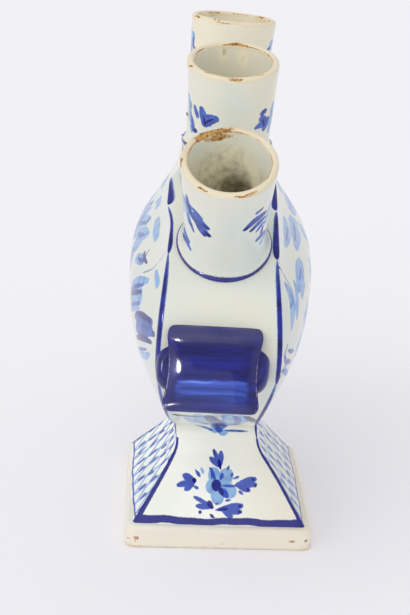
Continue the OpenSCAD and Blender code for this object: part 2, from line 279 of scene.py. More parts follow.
class Wire:
    def __init__(self, tree, socket=None):
        self.tree, self.socket = tree, socket

    def node(self, kind, inputs=None, settings=None, out=0):
        made = self.tree.nodes.new(kind)
        for name, value in (settings or {}).items():
            setattr(made, name, value)
        for key, value in (inputs or {}).items():
            self.feed(value, made.inputs[key])
        return Wire(self.tree, made.outputs[out])

    def feed(self, value, socket):
        if isinstance(value, Wire):
            self.tree.links.new(value.socket, socket)
        else:
            socket.default_value = value

    def math(self, operation, *values):
        return self.node("ShaderNodeMath", dict(enumerate(values)), {"operation": operation})

    __add__ = __radd__ = lambda self, other: self.math("ADD", self, other)
    __mul__ = __rmul__ = lambda self, other: self.math("MULTIPLY", self, other)
    __sub__ = lambda self, other: self.math("SUBTRACT", self, other)
    __rsub__ = lambda self, other: self.math("SUBTRACT", other, self)
    __truediv__ = lambda self, other: self.math("DIVIDE", self, other)
    __rtruediv__ = lambda self, other: self.math("DIVIDE", other, self)
    __pow__ = lambda self, other: self.math("POWER", self, other)
    __rpow__ = lambda self, other: self.math("POWER", other, self)
    cos = lambda self: self.math("COSINE", self)
    sin = lambda self: self.math("SINE", self)

    def between(self, low, high, kind="LINEAR"):  # 0 below low, 1 above high
        return self.node("ShaderNodeMapRange", {0: self, 1: low, 2: high}, {"interpolation_type": kind})

    def soft(self, low, high):
        return self.between(low, high, "SMOOTHSTEP")

    def parts(self):
        split = self.node("ShaderNodeSeparateXYZ", {0: self}).socket.node
        return [Wire(self.tree, split.outputs[i]) for i in range(3)]

    def field(self, name):  # the three values of a piece's own attribute
        return self.node("ShaderNodeAttribute", settings={"attribute_name": name}, out=1).parts()

    def noise(self, scale, detail=3.0, distortion=0.0):
        values = {"Vector": self, "Scale": scale, "Detail": detail, "Distortion": distortion}
        return self.node("ShaderNodeTexNoise", values)

    def blend(self, first, second, mask):
        return self.node("ShaderNodeMix", {0: mask, 6: first, 7: second}, {"data_type": "RGBA"}, out=2)

    def tint(self, color, mask):  # this colour, covered by another where the mask says
        return self.blend(self, color, mask)


def linear(*screen):  # a colour as seen on a screen, 0 to 255
    return tuple(v / 255 / 12.92 if v < 10.3 else ((v / 255 + 0.055) / 1.055) ** 2.4 for v in screen) + (1,)


# Finishes

# The whitest colour is painted light on the foot, and the shaded grey is painted shade
glazeLook = dict(
    ivory=linear(227, 229, 218), cream=linear(229, 227, 207), cool=linear(215, 227, 221),
    white=linear(254, 255, 244), warm=linear(237, 228, 202), bisque=linear(236, 228, 210),
    inside=linear(252, 242, 210), stain=linear(66, 60, 34), moss=linear(120, 108, 62),
    shaded=linear(204, 210, 200), peach=linear(231, 217, 186), clay=linear(156, 106, 58),
    ochre=linear(198, 157, 98), umber=linear(92, 58, 38), pale=linear(120, 174, 224),
    paleDeep=linear(74, 132, 204), mid=linear(62, 106, 202), midDeep=linear(36, 64, 154),
    dark=linear(40, 40, 138), darkDeep=linear(20, 20, 84), footLeaf=linear(24, 66, 182),
    footInk=linear(8, 14, 132), edgeSoft=0.16, roughness=0.13, relief=0.06, shine=0.22)
# The two lightest blues paint a reflection of the bright floor on the handle straps
cobaltLook = dict(
    deep=linear(28, 28, 90), blue=linear(36, 40, 134), bright=linear(72, 102, 206),
    glow=linear(122, 158, 236), slate=linear(72, 72, 116), bare=linear(182, 176, 196),
    roughness=0.05, relief=0.08, shine=0.21)


def newMaterial(name):
    material = bpy.data.materials.new(name)
    material.use_nodes = True
    return material, Wire(material.node_tree), material.node_tree.nodes["Principled BSDF"]


def fire(wire, shader, look, color, roughness, height):  # what both glazes have in common
    wire.feed(color, shader.inputs["Base Color"])
    wire.feed(look["roughness"] + roughness, shader.inputs["Roughness"])
    bumps = {"Height": height, "Strength": look["relief"], "Distance": 0.0006}
    wire.feed(wire.node("ShaderNodeBump", bumps), shader.inputs["Normal"])
    shader.inputs["IOR"].default_value = 1.52
    shader.inputs["Specular IOR Level"].default_value = look["shine"]


def paintedGlaze():
    look = glazeLook
    material, wire, shader = newMaterial("paintedTinGlaze")
    place = wire.node("ShaderNodeTexCoord", out=3)
    x, y, z = place.parts()
    dark, mid, pale = wire.field("paint")
    rim, chip, inside = wire.field("wear")
    bristle = place.noise(1500.0, 2.0)  # rough edge that a brush leaves on dry glaze
    load = place.noise(260.0, 2.0)  # how much paint the brush still held
    cloud = place.noise(22.0)
    drift = place.noise(38.0, 2.0, 0.6)
    grime = place.noise(70.0, 4.0, 1.2)
    grain = place.noise(420.0)

    def inked(depth):
        return (depth + (bristle - 0.5) * 0.3).soft(1 - look["edgeSoft"], 1 + look["edgeSoft"])

    # parts of the vase, by height and side in metres
    farSpouts = x.between(0.085, 0.0) * z.between(0.15, 0.17)
    sides = z.between(0.15, 0.12) * z.between(0.045, 0.06)
    onFoot = z.between(0.048, 0.041)
    footShadedSide = z.between(0.048, 0.03) * y.between(0.0, 0.03)
    onPlinth = z.between(0.0105, 0.0085)
    # glaze, with painted light and shade on the foot and the body's middle, and what has settled inside the
    # spouts
    color = wire.blend(look["ivory"], look["cream"], cloud.soft(0.35, 0.7))
    color = color.tint(look["cool"], drift.soft(0.4, 0.7) * 0.8)
    color = color.tint(look["warm"], farSpouts * 0.8)
    # painted shade: the upright middle height of the body is greyed
    color = color.tint(look["shaded"], sides * 0.35)
    # painted light: the foot, which faces upwards, is painted whiter
    color = color.tint(look["white"], onFoot * (0.95 - cloud.soft(0.45, 0.7) * 0.4))
    # painted shade: the foot's right side is painted darker and warmer
    color = color.tint(look["shaded"], footShadedSide * 0.35)
    color = color.tint(look["warm"], footShadedSide * 0.55)
    color = color.tint(look["bisque"], onPlinth * 0.9)
    color = color.tint(look["inside"], inside.soft(0.0, 0.5) * 0.7)
    settled = inside * 1.35 + (grime - 0.5) * 0.8 + (grain - 0.5) * 0.5 - 0.6
    color = color.tint(look["stain"], settled.soft(0.0, 0.95) * 0.92)
    damp = (grime + (grain - 0.5) * 0.5).soft(0.46, 0.75) * inside.soft(0.1, 0.5)
    color = color.tint(look["moss"], damp * 0.4)
    # the three strengths of blue
    wash = wire.blend(look["pale"], look["paleDeep"], load.soft(0.35, 0.7))
    color = color.tint(wash, inked(pale) * 0.85)
    leaf = wire.blend(look["mid"], look["midDeep"], load.soft(0.3, 0.65))
    color = color.tint(leaf.tint(look["footLeaf"], onFoot * 0.7), inked(mid) * 0.94)
    ink = wire.blend(look["dark"], look["darkDeep"], load.soft(0.35, 0.75))
    color = color.tint(ink.tint(look["footInk"], onFoot * 0.7), inked(dark) * 0.97)
    # thin glaze on the lips, and chips down to the clay
    thin = (rim + (grain - 0.5) * 0.9 + (bristle - 0.5) * 0.3).soft(0.3, 0.75)
    color = color.tint(look["peach"], thin * 0.85)
    color = color.tint(look["ochre"], thin * drift.soft(0.45, 0.75) * 0.3)
    worn = (chip + (load - 0.5) * 0.7 + (bristle - 0.5) * 0.5).soft(0.42, 0.62)
    clay = wire.blend(look["clay"], look["ochre"], grain.soft(0.36, 0.54))
    color = color.tint(clay.tint(look["umber"], bristle.soft(0.52, 0.68) * 0.8), worn)
    height = place.noise(160.0) + place.noise(900.0, 2.0) * (0.04 + worn * 0.5)
    fire(wire, shader, look, color, cloud * 0.08 + rim.soft(0.3, 0.8) * 0.2 + worn * 0.45, height)
    return material


def cobaltGlaze():
    look = cobaltLook
    material, wire, shader = newMaterial("cobaltGlaze")
    place = wire.node("ShaderNodeTexCoord", out=3)
    # the piece's channels: rubbed edges, the painted reflection, and the dull glaze
    edge, paintedSheen, shade = wire.field("wear")
    brushed = wire.node("ShaderNodeMapping", {"Vector": place, "Scale": (1.0, 0.06, 1.0)})  # across the strap
    streak = brushed.noise(420.0, 4.0, 0.3)
    broad = brushed.noise(120.0, 2.0)
    cloud = place.noise(60.0)
    fray = place.noise(700.0)
    color = wire.blend(look["deep"], look["blue"], streak.soft(0.36, 0.68))
    # painted reflection: a lighter, streaky blue band with a thin near-white line along its top, where the
    # bright floor would be mirrored in the strap
    streakedSheen = paintedSheen * (0.3 + broad.soft(0.3, 0.7) * 0.4 + streak.soft(0.35, 0.65) * 0.35)
    color = color.tint(look["bright"], streakedSheen.soft(0.05, 1.0) * 0.95)
    color = color.tint(look["glow"], (paintedSheen + (streak - 0.5) * 0.8).soft(1.0, 1.8) * 0.8)
    color = color.tint(look["slate"], shade * cloud.soft(0.2, 0.6) * 0.85)
    rubbed = (edge + (fray - 0.5) * 0.9 + (cloud - 0.5) * 0.8).soft(0.55, 0.85)
    color = color.tint(look["bare"], rubbed * 0.7)
    height = streak * 0.5 + place.noise(220.0)
    fire(wire, shader, look, color, cloud * 0.06 + edge * 0.15 + shade * 0.25, height)
    return material


finishes = {"painted_glaze": paintedGlaze(), "cobalt_glaze": cobaltGlaze()}
print("finishes mixed:", ", ".join(finishes))


# Body: two pressed faces, closed all round by an edge strip

body = dict(
    width=182.8, bellyThick=72.2, bellyZ=114.0, fallUp=7.8, fallDown=3.5, crown=2.6, breadth=2.3,
    shoulderR=132.4, cornerR=26.0, sideR=216.0, waistR=10.0, wall=4.6, floor=6.0, fanZ=27.4,
    stripTop=37.2, stripSide=42.2, stripWaist=33.8, stripSideZ=100.5, slab=28.0, seamLip=0.8,
    waistZ=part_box("foot")[1].z / mm, waistLength=37.0, softEdge=1.3, step=0.72,
    rings=112, innerRings=8, edgeRows=9)
topZ = body["fanZ"] + body["shoulderR"]
middle = np.array([0, body["bellyZ"]])
fan = np.array([0, body["fanZ"]])
cornerTurn = math.acos((body["width"] / 2 - body["cornerR"]) / (body["shoulderR"] - body["cornerR"]))
cornerAt = arc(fan, body["shoulderR"] - body["cornerR"], cornerTurn, cornerTurn, 1)[0]
waistAt = np.array([body["waistLength"] / 2 + body["waistR"], body["waistZ"]])
waistSpan = np.linalg.norm(waistAt - cornerAt)
waistWay = (waistAt - cornerAt) / waistSpan
sideIn, sideOut = body["sideR"] - body["cornerR"], body["sideR"] + body["waistR"]
sideAlong = (sideIn ** 2 - sideOut ** 2 + waistSpan ** 2) / (2 * waistSpan)
sideAcross = math.sqrt(sideIn ** 2 - sideAlong ** 2)
sideAt = cornerAt + sideAlong * waistWay + sideAcross * np.array([waistWay[1], -waistWay[0]])
sideStart = math.atan2(*(cornerAt - sideAt)[::-1])
sideEnd = math.atan2(*(waistAt - sideAt)[::-1])


def halfOutline(wall, rise):  # right half of the body's outline, set in by a wall
    waistStop = math.pi - math.asin(rise / (body["waistR"] + wall))
    bends = [  # centre, radius, way the wall moves it, start and end, turn that the points are counted by
        (fan, body["shoulderR"], -1, math.pi / 2, cornerTurn, math.pi / 2 - cornerTurn),
        (cornerAt, body["cornerR"], -1, cornerTurn, sideStart, cornerTurn - sideStart),
        (sideAt, body["sideR"], -1, sideStart, sideEnd, sideStart - sideEnd),
        (waistAt, body["waistR"], 1, sideEnd + math.pi, waistStop, sideEnd)]
    pieces = []
    for centre, radius, way, start, end, turn in bends:
        count = max(4, round(abs(radius * turn) / body["step"]) + 1)
        pieces.append(arc(centre, radius + way * wall, start, end, count)[1 if pieces else 0:])
    return np.concatenate(pieces)


def fullOutline(wall, rise):
    right = halfOutline(wall, rise)
    left = (right[1:] * [-1, 1])[::-1]
    t = np.linspace(0, 1, round(body["waistLength"] / body["step"]) + 1)[1:-1, None]
    return np.concatenate([right, mix(right[-1], left[0], t), left])


def halfLength(z):
    cornerZ = cornerAt[1] + body["cornerR"] * math.sin(cornerTurn)
    sideZ = cornerAt[1] + body["cornerR"] * math.sin(sideStart)
    hollowZ = body["waistZ"] - body["waistR"] * math.sin(sideEnd)
    shoulder = leg(body["shoulderR"], z - body["fanZ"])
    corner = cornerAt[0] + leg(body["cornerR"], z - cornerAt[1])
    side = sideAt[0] + leg(body["sideR"], z - sideAt[1])
    waist = waistAt[0] - leg(body["waistR"], z - body["waistZ"])
    return np.where(z > cornerZ, shoulder, np.where(z > sideZ, corner, np.where(z > hollowZ, side, waist)))


def stripHalf(z):
    up = mix(body["stripSide"], body["stripTop"], ease(body["stripSideZ"], topZ, z))
    down = mix(body["stripWaist"], body["stripSide"], ease(body["waistZ"], body["stripSideZ"], z))
    return np.where(z > body["stripSideZ"], up, down) / 2


def faceY(x, z):
    above = np.clip((z - body["bellyZ"]) / (topZ - body["bellyZ"]), 0, 1)
    below = np.clip((body["bellyZ"] - z) / (body["bellyZ"] - body["waistZ"]), 0, 1)
    up = (1 - above ** body["crown"]) ** body["fallUp"]
    down = (1 - below ** body["crown"]) ** body["fallDown"]
    across = 1 - np.minimum(1, np.abs(x) / np.maximum(halfLength(z), 1)) ** body["breadth"]
    return mix(stripHalf(z), body["bellyThick"] / 2, np.where(z > body["bellyZ"], up, down) * across)


outline, lining = fullOutline(0, 0), fullOutline(body["wall"], body["floor"])
outlineLength = np.concatenate([[0], np.cumsum(np.linalg.norm(np.diff(outline, axis=0), axis=1))])
waistEnd = len(halfOutline(0, 0)) - 1
waistStation = outlineLength[waistEnd]

# Lines along the edges of the strip, in strokes from the top round to the waist: start, end and width in mm.
# Each is a blue stroke with a darker one laid over all but its start.
edgeLines = dict(
    strokes=[
        (0, 16, 1.3), (17, 36, 1.6), (38, 55.5, 3.0), (57, 79.5, 3.0), (80, 131, 2.9),
        (129, waistStation, 2.4)],
    spots=(0, 0.06, 0.18, 0.45, 0.75, 0.9, 0.97, 1), loads=(0.25, 0.6, 0.92, 1.1, 1.15, 1.0, 0.7, 0.3),
    overSpots=(0, 0.2, 0.5, 0.9, 1), overLoads=(0.2, 0.7, 1.0, 0.95, 0.4), overWide=0.95,
    drift=0.3, front=0.4, back=-0.6, thinAfter=80, thin=0.72)

# The small flower half hidden by each handle. A stroke has three numbers for each knot:
# across the strip, up from the waist along it, and width.
underHandle = dict(
    pale=[
        (-6, 45, 4, -4, 32, 8, -1, 14, 5), (6, 46, 6, 8, 36, 9, 6, 20, 6, 3, 10, 4),
        (10, 46, 5, 12, 40, 6, 10, 30, 4), (-10, 38, 3.4, -8, 22, 3),
        (-8.5, 8.5, 1, -4, 6.5, 1.8, -0.5, 3.6, 2), (-0.5, 8, 3.4, 2.6, 3.4, 4),
        (2, 4.2, 1.4, 7, 4.6, 2, 12.4, 4.4, 1.2)],
    mid=[
        (-6, 7, 0.8, -2, 4.4, 1.2), (4, 4.4, 0.8, 11, 4.5, 1.1), (-1.2, 14, 3, 1.2, 4.6, 3),
        (8, 46, 2, 10, 38, 3.4, 9, 30, 2), (-7, 30, 2, -3, 16, 3, 1, 7, 2), (10, 30, 2, 7, 16, 3, 3, 7, 2)],
    dark=[
        (-0.8, 16, 2.4, 0.8, 6.4, 1.6), (-2, 44, 4, 1, 32, 7, 3, 10, 4),
        (12.6, 46, 3, 14.8, 40, 4, 15.4, 34, 2), (-15, 44, 2, -11, 42, 4, -5.2, 42, 2)])


def edgeStrokes(side):
    strokes = []
    inset = edgeLines["back"] if side > 0 else edgeLines["front"]
    t = np.linspace(0, 1, 26)
    for start, end, width in edgeLines["strokes"]:
        width *= edgeLines["thin"] if side > 0 and start >= edgeLines["thinAfter"] else 1
        path = np.stack([mix(start, end, t), inset + edgeLines["drift"] * np.sin(t * 4 + start)], 1)
        strokes.append(line("mid", path, width, edgeLines["spots"], edgeLines["loads"]))
        over = width * edgeLines["overWide"]
        strokes.append(line("dark", path[2:], over, edgeLines["overSpots"], edgeLines["overLoads"]))
    return strokes


def pressedFace(name, node, side, strokes):
    seam, lip = body["slab"] / 2, body["softEdge"]
    half = stripHalf(outline[:, 1])
    firstRing = lip / np.linalg.norm(outline - middle, axis=1)

    def ring(t):
        p = mix(outline, middle, t[:, None])
        return withDepth(p, faceY(*p.T))

    def innerRing(t):
        p = mix(lining, middle, t)
        return withDepth(p, np.maximum(seam + body["seamLip"], faceY(*p.T) - body["wall"]))

    # from the middle of the inside out to the seam, over the strip and its soft edge, and in again outside
    rows = [innerRing(t) for t in np.linspace(0.94, 0, body["innerRings"])] + [withDepth(lining, seam)]
    inside = len(rows) * len(outline)
    rows += [withDepth(outline, mix(seam, half - lip, t)) for t in np.linspace(0, 1, body["edgeRows"])]
    strip = slice(inside, len(rows) * len(outline))
    fromEdge = [row[:, 1] - half for row in rows]
    start, edge, end = rows[-1], withDepth(outline, half), ring(firstRing)
    for t in (0.25, 0.5, 0.75):
        rows.append((1 - t) ** 2 * start + 2 * t * (1 - t) * edge + t ** 2 * end)
        fromEdge.append(np.full(len(outline), mix(-lip, lip, t)))
    for t in np.linspace(0, 1, body["rings"])[:-1]:
        rows.append(ring(mix(firstRing, 1, t)))
        fromEdge.append(np.linalg.norm(rows[-1] - edge, axis=1))
    crown = body["bellyThick"] / 2
    points, faces = stackRows(rows, [[0, y, body["bellyZ"]] for y in (crown - body["wall"], crown)])
    # places for the brush: across the face for the picture, along the edge for its line
    paint, wear = blank(points), blank(points)
    outer = np.arange(len(points)) >= inside
    outer[-2] = False
    paint[outer] = paintField(points[outer][:, [0, 2]], strokes)
    station = np.tile(np.minimum(outlineLength, outlineLength[-1] - outlineLength), len(rows))
    onStrip = np.stack([side * points[strip, 1], waistStation - station[strip]], 1)
    paint[strip] = paintField(onStrip, drawn(underHandle))
    alongEdge = np.stack([station, np.concatenate(fromEdge)], 1)[inside:]
    paint[inside:-2] = np.maximum(paint[inside:-2], paintField(alongEdge, edgeStrokes(side)))
    wear[:inside, 2] = 1
    points[:, 1] *= side
    makePiece(name, points, faces, node, paint=paint, wear=wear)


# Pictures on the faces: a bouquet in the middle, and foliage that runs out to the edge strip on both sides.
# Stems are turn, reach and size of the blossom; the heart's flower is its radius, petals and turn; strokes
# have x, z and width for each knot; other flowers x, z and size.

faceSpray = dict(
    heart=(0.0, 98.0), heartFlower=(15.0, 7, 12), stemWidth=0.9, flowerTurn=20,
    stems=((35, 36, 7), (145, 36, 7), (-35, 32, 7), (215, 32, 7), (90, 26, 6), (-90, 34, 6)),
    leafTurn=62, leaf=dict(length=11, width=3.2, spread=24), backFlowers=((52, 108, 6), (62, 99, 5)),
    front=dict(
        pale=[
            (-6.5, 133.3, 1.6, 0, 134.2, 2.4, 6.8, 134.3, 1.6),
            (24, 134.2, 2, 36, 134, 4, 48.6, 133.3, 2.4), (72, 128.5, 2, 79, 126.5, 3.5),
            (-9.8, 122.4, 4, 3, 127, 6, 14.9, 130, 3), (9.2, 123.8, 4, 21, 127, 6, 32.8, 129.5, 3),
            (41, 123.5, 3, 47, 125, 4.5, 52.8, 125.5, 2.4), (50, 111, 8, 57, 113.6, 12, 65, 117, 6),
            (47, 114.6, 2.4, 58, 120, 4.6, 69, 124, 2), (46, 108.8, 1.8, 57, 113, 2.4, 65.2, 116.2, 1.6),
            (45.7, 104.6, 1.8, 56, 109, 2.4, 64.7, 112.3, 1.6),
            (62, 104.4, 0.8, 74, 109.2, 1.4, 84, 111.6, 0.8),
            (52, 90.6, 2, 62, 94, 4.4, 72, 96.6, 3, 80, 101, 1.4)],
        mid=[
            (-4, 124, 1, 6, 127, 2, 12, 128.6, 1), (14, 125, 1, 22, 126.4, 2.2, 28, 128.4, 1),
            (71.8, 135.8, 0.7, 69, 131, 0.7, 67.3, 127.6, 0.7, 60, 124, 0.6), (43, 124, 1, 51, 125.4, 1.4),
            (62, 104, 5, 72, 108, 9, 83, 111, 4), (46, 112.6, 1.6, 56, 117.4, 2, 66, 121.4, 1),
            (46, 106.6, 1.2, 57, 111, 1.8, 65, 114.2, 1.2), (58, 106.6, 2.4, 70, 111, 4.4, 83, 114, 2.4),
            (60, 102.6, 3, 74, 107.6, 4.4, 86.7, 111, 2), (56, 93.6, 0.8, 66, 97, 1.4, 76, 101, 0.8)],
        dark=[
            (16, 129, 0.8, 11, 130.6, 1.4), (46.7, 127.6, 1, 52, 126.6, 1.6, 58.3, 127, 0.8),
            (50, 129.6, 0.8, 53, 125.4, 1.4), (45, 110.6, 1.6, 56, 115, 2.2, 65.4, 118.6, 1.4),
            (61, 108.9, 1.6, 71, 112, 3, 81.4, 113.6, 1.6),
            (58, 98.4, 1.6, 71, 103.4, 2.8, 83.5, 106.8, 1.6)]),
    back=dict(
        pale=[
            (4, 131.6, 3, 16, 131, 6.4, 30, 131, 5, 42, 130.4, 2),
            (20, 136, 2, 34, 135.4, 4.6, 48, 135.4, 4, 57, 135.6, 1.6),
            (46, 127, 3, 56, 125.6, 8, 66, 123.4, 4), (55, 121.4, 2, 63, 120, 4),
            (78.5, 128.4, 2.4, 76.5, 124.4, 5.6, 77, 120, 7, 79, 117, 5.6, 80.5, 113.6, 2.4),
            (68, 126, 2, 71, 119.4, 5, 73, 115, 2.4), (84, 99, 1.6, 74, 94, 2.4, 64, 88, 1.4)],
        mid=[
            (12, 131.4, 0.8, 24, 131, 1.4, 34, 131, 0.6), (30, 135, 0.7, 42, 135.2, 1.2, 50, 135.4, 0.6),
            (52, 126, 0.7, 60, 124.6, 1.3), (76.5, 126, 0.7, 76, 122, 1.2, 80, 120.6, 0.8),
            (77.7, 134.6, 0.7, 75.3, 129, 0.7, 73.2, 124, 0.7, 76.7, 120, 0.6),
            (84.7, 108.7, 1, 88, 105.6, 1.7, 83, 102, 1.5, 84.1, 99.1, 1.2),
            (86, 103, 1, 80, 100.6, 2.2, 74, 98.1, 1.2), (87, 100, 1, 78, 95.6, 2.4, 66, 90, 1.4),
            (83, 106, 1, 78, 103.6, 2, 73, 102, 1)],
        dark=[
            (79.6, 101.2, 0.8, 84, 99.4, 1.4, 86.4, 96.4, 0.8)]))


def spray(marks, bend, flowers=()):
    strokes = blossom(faceSpray["heart"], *faceSpray["heartFlower"])
    for turn, reach, size in faceSpray["stems"]:
        stem = sweep(faceSpray["heart"], turn, reach, bend, 12)
        strokes.append(line("mid", stem[3:], faceSpray["stemWidth"]))
        strokes += blossom(stem[-1], size, turn=turn)
        for i, side in ((5, 1), (8, -1)):
            strokes += leafGroup(stem[i], turn + faceSpray["leafTurn"] * side, **faceSpray["leaf"])
    for side in (1, -1):
        strokes += drawn(marks, side)
        for x, z, size in flowers:
            strokes += blossom((side * x, z), size, turn=faceSpray["flowerTurn"])
    return strokes


pressedFace("frontFace", "front_panel", -1, spray(faceSpray["front"], 14))
pressedFace("backFace", "back_panel", 1, spray(faceSpray["back"], -14, faceSpray["backFlowers"]))
print("faces pressed")


# Edge slabs between the faces: the arched shoulder with five bores, the two sides and the floor

slabs = dict(
    across=57, inside=9, shoulderTurn=41.455, drillSides=96, drillReach=14.0, floorColumns=31, floorRows=15,
    floorStain=0.7)
fromTop = np.degrees(np.arctan2(outline[:waistEnd, 0], outline[:waistEnd, 1] - body["fanZ"]))
shoulderEnd = int(np.argmin(np.abs(fromTop - slabs["shoulderTurn"])))


def slabLoft(outer, inner):
    half = body["slab"] / 2
    over = np.linspace(-half, half, slabs["across"])
    under = np.linspace(half, -half, slabs["inside"])
    rows = [np.concatenate([withDepth(p, over), withDepth(q, under)]) for p, q in zip(outer, inner)]
    return stackRows(rows)


def sideSlab(name, node, mirror):
    stations = slice(shoulderEnd, waistEnd + 1)
    points, faces = slabLoft(outline[stations], lining[stations])
    columns = slabs["across"] + slabs["inside"]
    outer = np.arange(len(points)) % columns < slabs["across"]
    outer[-2:] = False
    along = np.repeat(waistStation - outlineLength[stations], columns)
    places = np.stack([points[:-2, 1], along], 1)
    paint, wear = blank(points), blank(points)
    paint[outer] = paintField(places[outer[:-2]], drawn(underHandle))
    wear[~outer, 2] = 1
    points[:, 0] *= mirror
    makePiece(name, points, faces, node, paint=paint, wear=wear)


def rawObject(points, faces):
    mesh = bpy.data.meshes.new("raw")
    mesh.from_pydata(points.tolist(), [], outward(points, faces))
    made = bpy.data.objects.new("raw", mesh)
    bpy.context.scene.collection.objects.link(made)
    return made


def drill(k):
    lean = fanTurn(k)
    turn = np.arange(slabs["drillSides"]) * 2 * math.pi / slabs["drillSides"]

    def ring(rise, radius):
        x, up = radius * np.cos(turn), body["shoulderR"] + rise
        across = x * math.cos(lean) + up * math.sin(lean)
        height = body["fanZ"] + up * math.cos(lean) - x * math.sin(lean)
        return np.stack([across, radius * np.sin(turn), height], 1)

    reach = slabs["drillReach"]
    ends = [ring(rise, 0)[0] for rise in (-reach, reach)]
    return stackRows([ring(rise, spouts["bore"]) for rise in (-reach, reach)], ends)


def shoulderSlab():
    left = slice(shoulderEnd, 0, -1)
    edges = [np.concatenate([edge[left] * [-1, 1], edge[:shoulderEnd + 1]]) for edge in (outline, lining)]
    slab = rawObject(*slabLoft(*edges))
    drills = [drill(k) for k in names]
    size = len(drills[0][0])
    drillFaces = [[i + n * size for i in f] for n, (_, faces) in enumerate(drills) for f in faces]
    bit = rawObject(np.concatenate([points for points, _ in drills]), drillFaces)
    cut = slab.modifiers.new("bores", "BOOLEAN")
    cut.object = bit
    cut.operation = "DIFFERENCE"
    cut.solver = "EXACT"
    mesh = evaluated(slab)
    bpy.data.objects.remove(bit)
    points = pointsOf(mesh)
    x, z = points[:, 0], points[:, 2] - body["fanZ"]
    reach = np.linalg.norm(outline[:waistEnd] - fan, axis=1)
    depth = np.interp(np.abs(np.arctan2(x, z)), np.radians(fromTop), reach) - np.hypot(x, z)
    wear = blank(points)
    wear[:, 2] = ease(0.3, 1.5, depth)
    putPoints(mesh, points)
    dressPiece("shoulderSlab", mesh, "shoulder_slab", paint=blank(points), wear=wear)


def floorSlab():
    half = body["slab"] / 2
    t = np.linspace(-1, 1, slabs["floorColumns"])[:, None]
    edges = ((t, outline[waistEnd]), (-t, lining[waistEnd]))
    loop = np.concatenate([np.concatenate([share * x, 0 * share + z], 1) for share, (x, z) in edges])
    points, faces = stackRows([withDepth(loop, y) for y in np.linspace(-half, half, slabs["floorRows"])])
    wear = blank(points)
    wear[:, 2] = slabs["floorStain"]
    makePiece("bodyFloor", points, faces, "body_floor", paint=blank(points), wear=wear)


sideSlab("rightSide", "right_side_slab", 1)
sideSlab("leftSide", "left_side_slab", -1)
floorSlab()
print("sides and floor set")


# Spouts and their collars, thrown by one node tree each; shares are how far round the profile each part runs

spouts = dict(
    mouth=16.0, root=14.3, bore=10.5, lipWall=2.5, hollow=0.35, lengths=(49.0, 47.0, 40.5), step=16.0,
    girth=14.5, around=224, rows=150, outerShare=0.70, lipShare=0.08, boreShare=0.20,
    collarHeight=11.0, collarRadius=16.75, collarEdge=0.8, collarAround=180, collarRows=44,
    collarShares=(0.1, 0.8, 0.92))
names = {-2: "left_outer", -1: "left_inner", 0: "middle", 1: "right_inner", 2: "right_outer"}


def fanTurn(k):
    return math.radians(spouts["step"] * k)


def axis(k):
    return np.array([math.sin(fanTurn(k)), 0, math.cos(fanTurn(k))])


def treeWith(name, *sizes):
    tree = bpy.data.node_groups.new(name, "GeometryNodeTree")
    tree.interface.new_socket("Geometry", in_out="OUTPUT", socket_type="NodeSocketGeometry")
    shared = ("Root", "Collar Height", "Shoulder Radius", "Fan Height", "Lean")
    for kind, titles in (("Float", sizes + shared), ("Int", ("Around", "Rows")), ("Material", ("Finish",))):
        for title in titles:
            tree.interface.new_socket(title, in_out="INPUT", socket_type="NodeSocket" + kind)
    source = tree.nodes.new("NodeGroupInput")
    return Wire(tree), {s.name: Wire(tree, s) for s in source.outputs if s.name}


def latheGrid(wire, given):
    grid = wire.node("GeometryNodeMeshGrid", {
        "Size X": 1.0, "Size Y": 1.0, "Vertices X": given["Around"] + 1, "Vertices Y": given["Rows"]})
    across, along, _ = wire.node("GeometryNodeInputPosition").parts()
    return grid, (across + 0.5) * (2 * math.pi), along + 0.5


def seat(given, turn, radius):  # where a wall of this radius meets the arched shoulder
    shoulderR = given["Shoulder Radius"]
    return (shoulderR ** 2 - (radius * turn.cos()) ** 2) ** 0.5 - shoulderR


def finishTree(wire, given, grid, radius, rise, turn):  # set the lathed wall on the shoulder, in its lean
    x, z = radius * turn.cos(), rise + given["Shoulder Radius"]
    c, s = given["Lean"].cos(), given["Lean"].sin()
    place = wire.node("ShaderNodeCombineXYZ", {
        0: x * c + z * s, 1: radius * turn.sin(), 2: given["Fan Height"] + z * c - x * s})
    shape = wire.node("GeometryNodeSetPosition", {"Geometry": grid, "Position": place})
    shape = wire.node("GeometryNodeMergeByDistance", {"Geometry": shape, "Distance": 0.001})
    shape = wire.node("GeometryNodeRealizeInstances", {"Geometry": shape})
    shape = wire.node("GeometryNodeSetMaterial", {"Geometry": shape, "Material": given["Finish"]})
    wire.feed(shape, wire.tree.nodes.new("NodeGroupOutput").inputs[0])
    return wire.tree


def spoutTree():
    wire, given = treeWith("thrownSpout", "Length", "Mouth", "Bore", "Lip Wall", "Flare Hollow")
    grid, turn, along = latheGrid(wire, given)
    lipStart = spouts["outerShare"]
    lipEnd = lipStart + spouts["lipShare"]
    boreEnd = lipEnd + spouts["boreShare"]
    up, over = along.between(0, lipStart), along.between(lipStart, lipEnd)
    down, under = along.between(lipEnd, boreEnd), along.between(boreEnd, 1)
    root, mouth, bore, lowest = (given[title] for title in ("Root", "Mouth", "Bore", "Collar Height"))
    lip = given["Lip Wall"] / 2
    top = given["Length"] - lip
    mouthBore = mouth - given["Lip Wall"]
    rootSeat, boreSeat = seat(given, turn, root), seat(given, turn, bore)

    def flared(low, high, rise):
        t = ((rise - lowest) / (top - lowest)).between(0, 1)
        return low + (high - low) * (t + (t * t - t) * given["Flare Hollow"])

    wallRise = rootSeat + (top - rootSeat) * up
    boreRise = top + (boreSeat - top) * down
    bend = over * math.pi
    radius = flared(root, mouth, wallRise) + lip * (bend.cos() - 1)
    radius = radius + flared(bore, mouthBore, boreRise) - mouthBore + under * (root - bore)
    rise = wallRise + lip * bend.sin() + boreRise - top + under * (rootSeat - boreSeat)
    return finishTree(wire, given, grid, radius, rise, turn)


